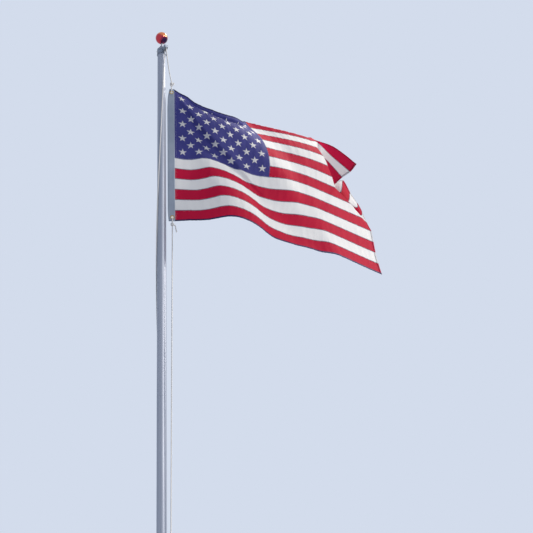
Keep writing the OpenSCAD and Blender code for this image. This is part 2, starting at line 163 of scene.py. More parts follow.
@dataclass(frozen=True)
class HardFinish(Finish):
    """A hard surface in two tones: broad patches turn its colour, a fine grain gives it relief.

    Widths of the patches and of the grain are in millimetres along X, Y and Z.
    """

    colour: str
    worn: str
    patch: Point
    grain: Point
    # Detail of the patches' and of the grain's noise.
    details: Pair
    # Noise values between which the colour turns to the worn one.
    tone: Pair
    # Roughness where the noise is low and where it is high; alike, they are one constant.
    roughness: Pair
    # Strength of the grain, and its depth in millimetres.
    relief: Pair
    metallic: float = 0.0
    ior: Optional[float] = None
    glossy_grain: bool = False

    def surface(self, tree: Tree) -> Socket:
        """Builds the finish's shader.

        Args:
            tree: The material's empty node tree.

        Returns:
            The shader socket.
        """
        place = add_node(tree, "TexCoord").outputs["Object"]
        noises = []
        for widths, detail in zip((self.patch, self.grain), self.details):
            scale = tuple(1 / (width * MM) for width in widths)
            scaled = add_node(tree, "Mapping", {"Scale": scale}, {"Vector": place}).outputs[0]
            noise = add_node(tree, "TexNoise", {"Scale": 1.0, "Detail": detail}, {"Vector": scaled})
            noises.append(noise.outputs["Fac"])
        patches, grain = noises
        low, high = self.tone
        share = add_node(tree, "MapRange", {"From Min": low, "From Max": high}, {"Value": patches})
        colours = {"data_type": "RGBA", 6: linear(self.colour), 7: linear(self.worn)}
        colour = add_node(tree, "Mix", colours, {0: share.outputs[0]})
        strength, depth = self.relief
        bumps = {"Strength": strength, "Distance": depth * MM}
        bump = add_node(tree, "Bump", bumps, {"Height": grain})
        settings = {"Metallic": self.metallic}
        links = {"Base Color": colour.outputs[2], "Normal": bump.outputs[0]}
        if self.ior:
            settings["IOR"] = self.ior
        low, high = self.roughness
        if low == high:
            settings["Roughness"] = low
        else:
            source = {"Value": grain if self.glossy_grain else patches}
            gloss = add_node(tree, "MapRange", {"To Min": low, "To Max": high}, source)
            links["Roughness"] = gloss.outputs[0]
        return add_node(tree, "BsdfPrincipled", settings, links).outputs[0]


@dataclass(frozen=True)
class AnodisedAluminium(HardFinish):
    """Drawn and satin anodised tube: long faint die lines, a soft glow along the lit side."""

    colour: str = "#A9AFBC"
    worn: str = "#989FAF"
    # Rain leaves faint upright runs about 2 cm wide and 0.7 m long.
    patch: Point = (18.0, 18.0, 700.0)
    # Die lines on drawn tube lie about 0.5 mm apart; drawn 2.5 mm apart so that they show.
    grain: Point = (2.5, 2.5, 500.0)
    details: Pair = (4.0, 3.0)
    tone: Pair = (0.35, 0.7)
    roughness: Pair = (0.36, 0.52)
    relief: Pair = (0.12, 0.2)
    metallic: float = 0.55


@dataclass(frozen=True)
class CastAluminium(HardFinish):
    """Sand cast and tumbled aluminium: a fine orange-peel skin, duller in its hollows."""

    colour: str = "#8F98A8"
    worn: str = "#5F6672"
    patch: Point = (20.0, 20.0, 20.0)
    # The sand leaves grains of 0.3 mm; drawn 1.6 mm wide so that they show.
    grain: Point = (1.6, 1.6, 1.6)
    details: Pair = (4.0, 3.0)
    tone: Pair = (0.45, 0.8)
    roughness: Pair = (0.34, 0.54)
    relief: Pair = (0.35, 0.3)
    metallic: float = 0.6
    glossy_grain: bool = True


@dataclass(frozen=True)
class PlatedMetal(HardFinish):
    """Plated or rolled metal, such as zinc on screws or brass eyelets: bright, with dull spots."""

    patch: Point = (12.0, 12.0, 12.0)
    # Marks of the tools.
    grain: Point = (0.8, 0.8, 0.8)
    details: Pair = (5.0, 2.0)
    tone: Pair = (0.4, 0.75)
    roughness: Pair = (0.21, 0.595)
    relief: Pair = (0.06, 0.1)
    metallic: float = 1.0


@dataclass(frozen=True)
class MouldedNylon(HardFinish):
    """Injection moulded nylon: dark, waxy, with a faint spark-eroded grain from its mould."""

    colour: str = "#1E1F22"
    worn: str = "#3A3B3E"
    patch: Point = (9.0, 9.0, 9.0)
    # Spark erosion leaves a grain of 0.1 mm; drawn 0.9 mm wide so that it shows.
    grain: Point = (0.9, 0.9, 0.9)
    details: Pair = (4.0, 2.0)
    tone: Pair = (0.0, 1.0)
    roughness: Pair = (0.45, 0.45)
    relief: Pair = (0.2, 0.2)
    ior: Optional[float] = 1.53


@dataclass(frozen=True)
class GiltWithPaintedReflections(Finish):
    """Gold anodised ball gone coppery and wine red, with an orange crown of painted reflection and a
    dark violet side of painted shade.
    """

    colour: str = "#C2404A"
    # Painted light over the ball's own colour, an orange crown of painted reflection and a dark violet
    # side of painted shade: colour, direction of the middle, and where the zone starts.
    painted_light_zones: tuple[tuple[str, Point, float], ...] = (
        ("#F2935C", (0.42, -0.42, 0.8), 0.08),
        ("#2E2148", (0.5, -0.4, -0.77), 0.5),
    )
    # In radii: how far past its start a zone first shows and is whole, and how far its edge wanders.
    edge: Pair = (0.25, 0.8)
    wander: float = 0.5
    centre: Point = (0.0, 0.0, 5.365)
    radius: float = 38 * MM
    patch: float = 22 * MM
    roughness: Pair = (0.096, 0.256)
    metallic: float = 0.9

    def surface(self, tree: Tree) -> Socket:
        """Builds the finish's shader.

        Args:
            tree: The material's empty node tree.

        Returns:
            The shader socket.
        """
        place = add_node(tree, "TexCoord").outputs["Object"]
        noise = {"Scale": 1 / self.patch, "Detail": 4.0}
        patches = add_node(tree, "TexNoise", noise, {"Vector": place}).outputs["Fac"]
        off = {"operation": "SUBTRACT", 1: self.centre}
        from_centre = add_node(tree, "VectorMath", off, {0: place}).outputs[0]
        colour = None
        # Each of these lays painted reflection or painted shade over the ball's own colour.
        for shade, way, start in self.painted_light_zones:
            dot = {"operation": "DOT_PRODUCT", 1: way}
            along = add_node(tree, "VectorMath", dot, {0: from_centre}).outputs["Value"]
            uneven = {"operation": "MULTIPLY_ADD", 1: self.wander * self.radius}
            reach = add_node(tree, "Math", uneven, {0: patches, 2: along}).outputs[0]
            low, high = ((start + past) * self.radius for past in self.edge)
            ramp = {"interpolation_type": "SMOOTHSTEP", "From Min": low, "From Max": high}
            share = add_node(tree, "MapRange", ramp, {"Value": reach}).outputs[0]
            colours = {"data_type": "RGBA", 6: linear(self.colour), 7: linear(shade)}
            links = {0: share} if colour is None else {0: share, 6: colour}
            colour = add_node(tree, "Mix", colours, links).outputs[2]
        low, high = self.roughness
        gloss = add_node(tree, "MapRange", {"To Min": low, "To Max": high}, {"Value": patches})
        links = {"Base Color": colour, "Roughness": gloss.outputs[0]}
        return add_node(tree, "BsdfPrincipled", {"Metallic": self.metallic}, links).outputs[0]


@dataclass(frozen=True)
class BraidedPolyester(Finish):
    """Diamond braided polyester cord: matt, with crossing strands and a grey painted shade in the
    hollows between them.

    The mesh carries turns round the rope in U and metres along it in V.
    """

    colour: str = "#F6F6F4"
    # Grey painted shade in the hollows between the braid's strands.
    painted_valley_shade: str = "#D3D5DB"
    strands: int = 4
    # One crossing of the braid repeats about every 9 mm.
    pitch: float = 9 * MM
    # Loose fibres of the yarn, drawn about a millimetre apart so that they show.
    fuzz: float = 1000 / 900 * MM
    roughness: float = 0.8
    sheen: float = 0.3

    def surface(self, tree: Tree) -> Socket:
        """Builds the finish's shader.

        Args:
            tree: The material's empty node tree.

        Returns:
            The shader socket.
        """
        flat = add_node(tree, "SeparateXYZ", links={0: add_node(tree, "UVMap").outputs[0]}).outputs
        waves = []
        for way in (1, -1):
            wound = {"operation": "MULTIPLY", 1: way * self.strands * math.tau}
            around = add_node(tree, "Math", wound, {0: flat["X"]}).outputs[0]
            laid = {"operation": "MULTIPLY_ADD", 1: math.tau / self.pitch}
            phase = add_node(tree, "Math", laid, {0: flat["Y"], 2: around}).outputs[0]
            waves.append(add_node(tree, "Math", {"operation": "SINE"}, {0: phase}).outputs[0])
        crossing = add_node(tree, "Math", {"operation": "MAXIMUM"}, {0: waves[0], 1: waves[1]})
        rise = {"From Min": -0.6, "From Max": 1.0}
        height = add_node(tree, "MapRange", rise, {"Value": crossing.outputs[0]}).outputs[0]
        place = add_node(tree, "TexCoord").outputs["Object"]
        fuzz = add_node(
            tree, "TexNoise", {"Scale": 1 / self.fuzz, "Detail": 2.0}, {"Vector": place}
        ).outputs["Fac"]
        # The hollows between the strands take the grey of painted shade.
        colours = {"data_type": "RGBA", 6: linear(self.painted_valley_shade), 7: linear(self.colour)}
        colour = add_node(tree, "Mix", colours, {0: height})
        fibres = {"Strength": 0.3, "Distance": 0.3 * MM}
        rough = add_node(tree, "Bump", fibres, {"Height": fuzz})
        strands = {"Strength": 0.9, "Distance": 0.8 * MM}
        bump = add_node(tree, "Bump", strands, {"Height": height, "Normal": rough.outputs[0]})
        return add_node(
            tree,
            "BsdfPrincipled",
            {"Roughness": self.roughness, "Sheen Weight": self.sheen, "Sheen Roughness": 0.5},
            {"Base Color": colour.outputs[2], "Normal": bump.outputs[0]},
        ).outputs[0]


@dataclass(frozen=True)
class WovenCloth(Finish):
    """Plain woven cloth: dyed nylon that light shines through, or duck canvas that it doesn't.

    The mesh carries metres from the heading in U and metres down from the upper edge in V.
    """

    colour: str
    faded: str
    # Threads per weave repeat; nylon's 0.25 mm threads are drawn coarser so that they show.
    thread: float = 1.2 * MM
    # Share of the light that passes through, its colour, and how much that colour counts.
    glow: float = 0.0
    passing: str = ""
    tint: float = 0.75
    roughness: float = 0.65
    gloss: float = 0.12
    relief: float = 0.25
    # Dye lots and slack vary over a hand's breadth.
    blotch: float = 1000 / 9 * MM
    fading: Pair = (0.35, 0.75)
    # Fine upright slack lines, 15 to 40 mm apart: how many a metre holds across and down.
    slack_lines: Point = (38.0, 7.0, 1.0)
    # Four layers lie in the felled seam between two stripes, which looks darker.
    seam: str = ""
    seam_gap: float = 914 / 13 * MM
    seam_w: float = 6 * MM

    def surface(self, tree: Tree) -> Socket:
        """Builds the finish's shader.

        Args:
            tree: The material's empty node tree.

        Returns:
            The shader socket.
        """
        flat = add_node(tree, "UVMap").outputs[0]
        threads = []
        for way in ("X", "Y"):
            bands = {
                "wave_type": "BANDS",
                "bands_direction": way,
                "Scale": math.pi / 10 / self.thread,
                "Distortion": 0.6,
                "Detail": 1.0,
            }
            threads.append(add_node(tree, "TexWave", bands, {"Vector": flat}).outputs["Fac"])
        weave = add_node(tree, "Math", {"operation": "ADD"}, {0: threads[0], 1: threads[1]})
        noise = {"Scale": 1 / self.blotch, "Detail": 5.0}
        blotches = add_node(tree, "TexNoise", noise, {"Vector": flat}).outputs["Fac"]
        low, high = self.fading
        tone = add_node(tree, "MapRange", {"From Min": low, "From Max": high}, {"Value": blotches})
        colours = {"data_type": "RGBA", 6: linear(self.colour), 7: linear(self.faded)}
        dyed = add_node(tree, "Mix", colours, {0: tone.outputs[0]}).outputs[2]
        shone = dyed
        if self.passing:
            tinted = {"data_type": "RGBA", 0: self.tint, 7: linear(self.passing)}
            shone = add_node(tree, "Mix", tinted, {6: dyed}).outputs[2]
        if self.seam:
            near = self.near_seam(tree, flat)
            dark = {"data_type": "RGBA", 7: linear(self.seam)}
            dyed, shone = (
                add_node(tree, "Mix", dark, {0: near, 6: side}).outputs[2] for side in (dyed, shone)
            )
        stretched = add_node(tree, "Mapping", {"Scale": self.slack_lines}, {"Vector": flat})
        slack = add_node(
            tree, "TexNoise", {"Scale": 1.0, "Detail": 2.0}, {"Vector": stretched.outputs[0]}
        ).outputs["Fac"]
        soft = add_node(tree, "Bump", {"Strength": 0.5, "Distance": 3 * MM}, {"Height": slack})
        woven = {"Strength": self.relief, "Distance": 0.4 * MM}
        links = {"Height": weave.outputs[0], "Normal": soft.outputs[0]}
        bump = add_node(tree, "Bump", woven, links)
        cloth = add_node(
            tree,
            "BsdfPrincipled",
            {"Roughness": self.roughness, "Specular IOR Level": self.gloss},
            {"Base Color": dyed, "Normal": bump.outputs[0]},
        ).outputs[0]
        if not self.glow:
            return cloth
        links = {"Color": shone, "Normal": soft.outputs[0]}
        through = add_node(tree, "BsdfTranslucent", links=links).outputs[0]
        return add_node(tree, "MixShader", {0: self.glow}, {1: cloth, 2: through}).outputs[0]

    def near_seam(self, tree: Tree, flat: Socket) -> Socket:
        """Share of seam at each place on the cloth.

        Args:
            tree: The material's node tree.
            flat: The flat coordinates in metres.

        Returns:
            A value that is 1 on a seam between two stripes and 0 elsewhere.
        """
        down = add_node(tree, "SeparateXYZ", links={0: flat}).outputs["Y"]
        off = add_node(tree, "Math", {"operation": "PINGPONG", 1: self.seam_gap / 2}, {0: down})
        edge = {
            "From Min": 0.4 * self.seam_w,
            "From Max": 0.6 * self.seam_w,
            "To Min": 1.0,
            "To Max": 0.0,
        }
        return add_node(tree, "MapRange", edge, {"Value": off.outputs[0]}).outputs[0]


@dataclass(frozen=True)
class StudioFloor(Finish):
    """Pale matt painted floor that takes the pole's soft shadow."""

    colour: str = "#D9DCE2"

    def surface(self, tree: Tree) -> Socket:
        """Builds the finish's shader.

        Args:
            tree: The material's empty node tree.

        Returns:
            The shader socket.
        """
        paint = {"Base Color": linear(self.colour), "Roughness": 0.9, "Specular IOR Level": 0.2}
        return add_node(tree, "BsdfPrincipled", paint).outputs[0]


TUBE = AnodisedAluminium("satin_anodised_aluminium")
CASTING = CastAluminium("tumbled_cast_aluminium")
COPPERY = GiltWithPaintedReflections("gold_anodising_painted_reflections")
ZINC = PlatedMetal("zinc_plated_steel", "#B4B8BF", "#8C9096", metallic=0.6)
BRASS = PlatedMetal(
    "rolled_brass", "#C7A869", "#8F7444", patch=(6.0, 6.0, 6.0), roughness=(0.15, 0.425)
)
PULLEY_NYLON = MouldedNylon("moulded_black_nylon")
CORD = BraidedPolyester("braided_polyester")
RED_NYLON = WovenCloth(
    "red_dyed_nylon", "#C01430", "#B4142E", glow=0.32, passing="#D42258", seam="#6A1236"
)
WHITE_NYLON = WovenCloth(
    "white_nylon", "#F4F4F4", "#ECEDEF", glow=0.32, passing="#F4F3EE", seam="#B9BDCB"
)
BLUE_NYLON = WovenCloth("blue_dyed_nylon", "#4A4B8B", "#42437F", glow=0.2, passing="#34368E")
RED_HEM = WovenCloth("red_nylon_hem", "#C8224E", "#B81E48", glow=0.25, passing="#D42258")
WHITE_HEM = WovenCloth("white_nylon_hem", "#DFE1E6", "#D4D7DE", glow=0.15)
# Dark navy painted shade for the doubled hems: the union's blue, darkened, beside the union, and in
# place of red along the whole lower edge.
NAVY_HEM_PAINTED_SHADE = WovenCloth("navy_hem_painted_shade", "#22244F", "#2A2C5E", glow=0.04)
# The canvas is drawn grey-blue: its own pale colour, darkened and blued as painted shade.
DUCK = WovenCloth(
    "cotton_duck_tape", "#A9B6C9", "#98A6BC", thread=1.6 * MM, roughness=0.85, relief=0.6
)
THREAD = WovenCloth(
    "polyester_sewing_thread", "#FBFBFC", "#F1F2F5", thread=0.9 * MM, glow=0.2, roughness=0.45
)
FLOOR = StudioFloor("studio_floor_paint")


@dataclass
class MeshParts:
    """Points, faces and flat coordinates that grow into one mesh."""

    points: list = field(default_factory=list)
    faces: list = field(default_factory=list)
    flat: list = field(default_factory=list)
    finish_of: list = field(default_factory=list)
    count: int = 0

    def add(
        self,
        points: np.ndarray,
        faces: np.ndarray,
        flat: Optional[np.ndarray] = None,
        finish: int = 0,
    ) -> None:
        """Adds one patch of points and faces.

        Args:
            points: Positions in millimetres, one row a point.
            faces: Indices into points, one row a face.
            flat: Flat coordinates in metres, one row a point.
            finish: Which of the mesh's finishes the faces take.
        """
        points = np.asarray(points, float).reshape(-1, 3)
        faces = np.asarray(faces, int)
        if flat is None:
            flat = points[:, (0, 2)] * MM
        self.points.append(points * MM)
        self.flat.append(np.asarray(flat, float).reshape(-1, 2))
        self.faces.extend((faces + self.count).tolist())
        self.finish_of.extend([finish] * len(faces))
        self.count += len(points)

    def piece(
        self, name: str, finishes: Sequence[Finish], slot: Slot, body: Body = Body.POLE
    ) -> bpy.types.Object:
        """Makes the object.

        Args:
            name: The piece's name.
            finishes: The finishes that the faces' numbers mean.
            slot: Not used.
            body: The body it rides on.

        Returns:
            The object, in place and riding on its body.
        """
        mesh = bpy.data.meshes.new(name)
        mesh.from_pydata(np.concatenate(self.points).tolist(), [], self.faces)
        for finish in finishes:
            mesh.materials.append(finish.material())
        mesh.polygons.foreach_set("material_index", self.finish_of)
        mesh.polygons.foreach_set("use_smooth", [True] * len(mesh.polygons))
        corner = np.zeros(len(mesh.loops), int)
        mesh.loops.foreach_get("vertex_index", corner)
        layer = mesh.uv_layers.new(name="flat")
        layer.data.foreach_set("uv", np.concatenate(self.flat)[corner].ravel())
        mesh.validate()
        mesh.update()
        piece = bpy.data.objects.new(name, mesh)
        bpy.context.scene.collection.objects.link(piece)
        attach(piece, body.value)
        LOG.info("%s: %d faces", name, len(mesh.polygons))
        return piece


def grid_faces(rows: int, columns: int, closed: bool = False) -> np.ndarray:
    """Four-sided faces over a grid of points.

    Args:
        rows: Rows of points.
        columns: Points in a row.
        closed: Whether each row joins up with its own start.

    Returns:
        Indices, one row a face.
    """
    wide = columns if closed else columns - 1
    row, column = np.meshgrid(np.arange(rows - 1), np.arange(wide), indexing="ij")
    start = (row * columns + column).ravel()
    beside = (row * columns + (column + 1) % columns).ravel()
    return np.stack([start, beside, beside + columns, start + columns], axis=1)


def mix(a: np.ndarray, b: np.ndarray, share: np.ndarray) -> np.ndarray:
    """Blends from a to b."""
    return a + (b - a) * share


def ease(share: np.ndarray) -> np.ndarray:
    """Smooth step from 0 to 1."""
    held = np.clip(share, 0, 1)
    return held * held * (3 - 2 * held)


def spline(a: np.ndarray, b: np.ndarray, c: np.ndarray, d: np.ndarray, s: float) -> np.ndarray:
    """Draws a smooth curve from b to c.

    Args:
        a: The point before, which steers it.
        b: Its start.
        c: Its end.
        d: The point after, which steers it.
        s: Share of the way.

    Returns:
        The point there.
    """
    return 0.5 * (
        2 * b + (c - a) * s + (2 * a - 5 * b + 4 * c - d) * s**2 + (3 * b - a - 3 * c + d) * s**3
    )


def span_at(points: Sequence[np.ndarray], at: float) -> np.ndarray:
    """Finds a point of the smooth curve through points.

    Args:
        points: What the curve passes through.
        at: A whole or broken index into the points.

    Returns:
        The place there.
    """
    last = len(points) - 1
    i = min(int(at), last - 1)
    around = (points[min(max(k, 0), last)] for k in range(i - 1, i + 3))
    return spline(*around, at - i)


def unit(v: np.ndarray) -> np.ndarray:
    """Vectors of length 1 the same way."""
    return v / np.linalg.norm(v, axis=-1, keepdims=True)


def polar(radius: float, turn: float, z: float) -> np.ndarray:
    """Point at a radius from the pole's axis, a turn in degrees and a height."""
    a = math.radians(turn)
    return np.array([radius * math.cos(a), radius * math.sin(a), z])


def run_along(line: np.ndarray) -> np.ndarray:
    """Length of a line up to each of its points."""
    return np.concatenate([[0], np.cumsum(np.linalg.norm(np.diff(line, axis=0), axis=1))])


@dataclass
class Pole:
    """Sizes of the tubes, and the finish of their nodes."""

    pole_d: float = 50.8
    pole_h: float = 5262.0
    sections: int = 5

    def dress(self, nodes: dict) -> None:
        """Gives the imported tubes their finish.

        Args:
            nodes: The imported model's objects by name.
        """
        for k in range(self.sections):
            finish_node(nodes[f"pole_section_{k + 1}"], TUBE)


def finish_node(node: bpy.types.Object, finish: Finish) -> None:
    """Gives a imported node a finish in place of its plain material.

    Args:
        node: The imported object.
        finish: What it takes.
    """
    node.data.materials.clear()
    node.data.materials.append(finish.material())
    LOG.info("%s: %s", node.name, finish.name)


@dataclass
class Truck:
    """The cap with its pulley housing, the sheave on its axle and the set screws."""

    truck_turn: float = -65.0
    sheave_reach: float = 56.0
    sheave_drop: float = 11.0
    sheave_rope_r: float = 9.5

    def dress(self, nodes: dict) -> None:
        """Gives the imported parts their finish.

        Args:
            nodes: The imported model's objects by name.
        """
        finish_node(nodes["truck_cap"], CASTING)
        finish_node(nodes["sheave"], PULLEY_NYLON)
        for name in ("sheave_pin", "truck_screw_left", "truck_screw_right"):
            finish_node(nodes[name], ZINC)


@dataclass
class Finial:
    """Ball finial: a spun shell on a collar, its threaded spindle and the jam nut."""

    ball_d: float = 76.0
    ball_z: float = 5365.0
    neck_h: float = 5.0
    neck_r: float = 8.75
    around: int = 96
    rings: int = 72
    # The collar's opening round the spindle as a share of its radius, and its bevelled edge.
    neck_open: float = 0.62
    neck_edge: float = 0.8
    # The two spun halves meet in a fine groove.
    groove: float = 0.25

    def profile(self) -> Iterator[Pair]:
        """Outlines the ball, from the collar's foot to the crown.

        Returns:
            Radius and height, point by point.
        """
        r = self.ball_d / 2
        foot = self.ball_z - r - self.neck_h
        start = math.asin(self.neck_r / r)
        yield self.neck_open * self.neck_r, foot
        yield self.neck_r - self.neck_edge, foot
        yield self.neck_r, foot + self.neck_edge
        for k in range(self.rings + 1):
            a = start + (math.pi - start) * k / self.rings
            notch = self.groove * math.exp(-((math.degrees(a) - 90) ** 2) / 2)
            yield (r - notch) * math.sin(a), self.ball_z - (r - notch) * math.cos(a)

    def build(self, nodes: dict) -> None:
        """Makes the ball and dresses what carries it.

        Args:
            nodes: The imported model's objects by name.
        """
        outline = list(self.profile())
        turns = np.linspace(0, math.tau, self.around, endpoint=False)
        points = [(r * math.cos(a), r * math.sin(a), z) for r, z in outline for a in turns]
        parts = MeshParts()
        parts.add(np.array(points), grid_faces(len(outline), self.around, closed=True))
        ball = parts.piece("gilt_ball", [COPPERY], Slot.GILT)
        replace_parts(ball, "finial_ball")
        finish_node(nodes["finial_spindle"], ZINC)
        finish_node(nodes["finial_nut"], ZINC)


@dataclass
class Rope:
    """Braided rope along a route of points in millimetres."""

    rope_d: float = 6.4
    sides: int = 12
    step: float = 5.0
    taut_step: float = 8.0
    # Steps that measure each span of the curve.
    span_steps: int = 8
    # The way that the cross-section's first side is turned, near enough.
    side_way: Point = (0.3, 1.0, 0.1)
    # Share of the radius that is left at an end, and how far the end bulges.
    end_share: float = 0.8
    end_bulge: float = 1.2

    def taut(self, a: np.ndarray, b: np.ndarray) -> list[np.ndarray]:
        """Points between a and b on a straight run, so close that the smooth curve can't overshoot."""
        count = max(2, round(float(np.linalg.norm(b - a)) / self.taut_step))
        return [mix(a, b, k / count) for k in range(1, count)]

    def along(self, route: Sequence[np.ndarray]) -> np.ndarray:
        """Walks the smooth curve through a route.

        Args:
            route: The points it passes through.

        Returns:
            Points at even steps, one row a point.
        """
        count = self.span_steps * (len(route) - 1) + 1
        fine = np.array([span_at(route, k / self.span_steps) for k in range(count)])
        run = run_along(fine)
        even = np.linspace(0, run[-1], max(2, round(run[-1] / self.step) + 1))
        return np.stack([np.interp(even, run, fine[:, k]) for k in range(3)], axis=1)

    def add(self, parts: MeshParts, route: Sequence[np.ndarray]) -> None:
        """Adds a rope with flat, slightly rounded ends.

        Args:
            parts: The mesh that the rope goes into.
            route: The points it follows.
        """
        line = self.along(route)
        ahead = unit(np.gradient(line, axis=0))
        side = np.array(self.side_way)
        rings, flat = [], []
        run = run_along(line)
        turns = np.linspace(0, 1, self.sides + 1)
        last = len(line) - 1
        for i, (at, t) in enumerate(zip(line, ahead)):
            side = unit(side - t * (side @ t))
            up = np.cross(t, side)
            radius = self.rope_d / 2 * (self.end_share if i in (0, last) else 1.0)
            for turn in turns:
                a = turn * math.tau
                rings.append(at + radius * (math.cos(a) * side + math.sin(a) * up))
                flat.append((turn, run[i] * MM))
        faces = grid_faces(len(line), self.sides + 1)
        parts.add(np.array(rings), faces, np.array(flat))
        for end in (0, last):
            first = end * (self.sides + 1)
            ring = np.array(rings[first : first + self.sides + 1])
            bulge = self.end_bulge if end else -self.end_bulge
            hub = np.concatenate([ring, [line[end] + ahead[end] * bulge]])
            cap = [[k, k + 1, len(ring)] for k in range(self.sides)]
            parts.add(hub, cap, np.array(flat[first : first + self.sides + 1] + [flat[first]]))


@dataclass
class Halyard:
    """The halyard: over the sheave, round the pole, on the cleat and up to the lower grommet."""

    pole: Pole
    truck: Truck
    rope: Rope = field(default_factory=Rope)
    seat: float = 0.3
    wrap_drop: float = 806.0
    wrap_lead: float = 100.0
    wrap_steps: int = 104
    leg_steps: int = 10
    cleat_z: float = 1370.0
    cleat_turn: float = -40.0
    housing_r: float = 17.1
    web_drop: float = 2.0
    hoist: float = 914.0
    flag_drop: float = 313.0
    # The heading starts 34 mm from the axis and is 41 mm wide, with its eyelets at 0.62 of that.
    grommet_x: float = 34 + 0.62 * 41
    hoist_y: float = 30.0
    grommet_in: float = 25.0
    grommet_t: float = 4.0
    grommet_hole_r: float = 6.8
    knot_gap: float = 26.0
    knot_drop: float = 10.0
    knot_turns: int = 3
    turn_lap: float = 1.0
    knot_core_r: float = 7.2
    lead_l: float = 12.0
    # The run up to the sheave bows: its middle, as shares of the way along X, Y and Z.
    bow_share: Point = (0.5, 0.3, 0.42)
    # Clearance of a loop's legs from the middle between them.
    leg_fit: float = 0.05
    # The turns of a knot are squeezed sideways, spread to front and back, and laid closer.
    coil_steps: int = 12
    coil_squeeze: float = 0.4
    coil_spread: float = 1.2
    coil_lay: float = 0.86
    # Free ends beyond the last turn: sideways, forwards and up.
    upper_tail: tuple[Point, ...] = ((5, 1, 3), (7, 2, -4), (8, 2, -13))
    lower_tail: tuple[Point, ...] = ((6, 1, 2), (10, 2, -8), (13, 2, -24), (17, 2, -44))
    turns: tuple[Point, ...] = (
        (3.5, 0, 100), (5, -13, 60), (5, -14, 30), (5, -14, -10), (9, -12, -28),
        (13, 0, -39), (20, 12, -28), (36, 12, -15), (41, 0, 0), (36, -12, 15), (22, -13, 28),
        (14, 0, 39), (22, 13, 28), (43, 12, 14), (48, 0, 0), (43, -12, -14), (26, -14, -28),
        (19, 0, -47), (26, 14, -28), (50, 12, -14), (55, 0, 0), (50, -12, 14), (27, -15, 30),
        (18, 0, 48), (16, 11, 62), (14, 10, 80),
    )

    @property
    def turn_h(self) -> float:
        """Height that one turn of a knot takes."""
        return self.rope.rope_d - self.turn_lap

    @property
    def knot_h(self) -> float:
        """Height of a knot's barrel of turns."""
        return self.knot_turns * self.turn_h

    @property
    def flag_top(self) -> float:
        """Height of the flag's upper corner at the hoist."""
        return self.pole.pole_h - self.flag_drop

    @property
    def knot_up(self) -> np.ndarray:
        """Foot of the upper knot's barrel."""
        return np.array([self.grommet_x, -self.hoist_y, self.flag_top + self.knot_gap])

    @property
    def knot_low(self) -> np.ndarray:
        """Foot of the lower knot's barrel."""
        foot = self.flag_top - self.hoist - self.knot_drop - self.knot_h
        return np.array([self.grommet_x, -self.hoist_y, foot])

    def upper_route(self) -> list[np.ndarray]:
        """Leads from the upper knot over the sheave, across to the pole and round it, to the cleat.

        Returns:
            The route's points.
        """
        truck = self.truck
        turn = truck.truck_turn
        reach = truck.sheave_reach
        pole_r = self.pole.pole_d / 2
        rope_r = self.rope.rope_d / 2
        wrap_r = pole_r + rope_r + self.seat
        sheave_z = self.pole.pole_h - truck.sheave_drop
        leg_out = polar(reach + truck.sheave_rope_r, turn, sheave_z - self.housing_r - self.web_drop)
        top = self.knot_up + np.array([0, 0, self.knot_h])
        middle = mix(top, leg_out, np.array(self.bow_share))
        bow = [top + np.array([0, 0, self.lead_l]), middle, leg_out]
        spans = (len(bow) - 1) * self.leg_steps
        leg = [span_at(bow, k / self.leg_steps) for k in range(spans + 1)]
        centre = polar(reach, turn, sheave_z)
        over = [
            centre
            + polar(truck.sheave_rope_r * math.cos(a), turn, truck.sheave_rope_r * math.sin(a))
            for a in HALF_TURN
        ]
        touch = 360 + turn - math.degrees(math.acos(wrap_r / (reach - truck.sheave_rope_r)))
        start_z = self.pole.pole_h - self.wrap_drop
        end_z = self.cleat_z + self.wrap_lead
        shares = np.linspace(0, 1, self.wrap_steps + 1)
        wrap = [
            polar(wrap_r, mix(touch, self.cleat_turn, s), mix(start_z, end_z, s)) for s in shares
        ]
        rise = self.rope.taut(leg_out, over[0])
        drop = self.rope.taut(over[-1], wrap[0])
        return [top, *leg, *rise, *over, *drop, *wrap]

    def turns_route(self) -> list[np.ndarray]:
        """Lays the figure-eight turns on the cleat.

        Returns:
            The route's points.
        """
        across = polar(1, self.cleat_turn + 90, 0)
        pole_r = self.pole.pole_d / 2
        return [
            polar(pole_r + out, self.cleat_turn, self.cleat_z + up) + across * side
            for out, side, up in self.turns
        ]

    def lower_route(self) -> list[np.ndarray]:
        """Leads from the cleat straight up to the lower knot.

        Returns:
            The route's points.
        """
        start = self.turns_route()[-1]
        lead = np.array([0, 0, self.lead_l])
        foot, head = start + lead, self.knot_low - lead
        return [start, foot, *self.rope.taut(foot, head), head, self.knot_low]

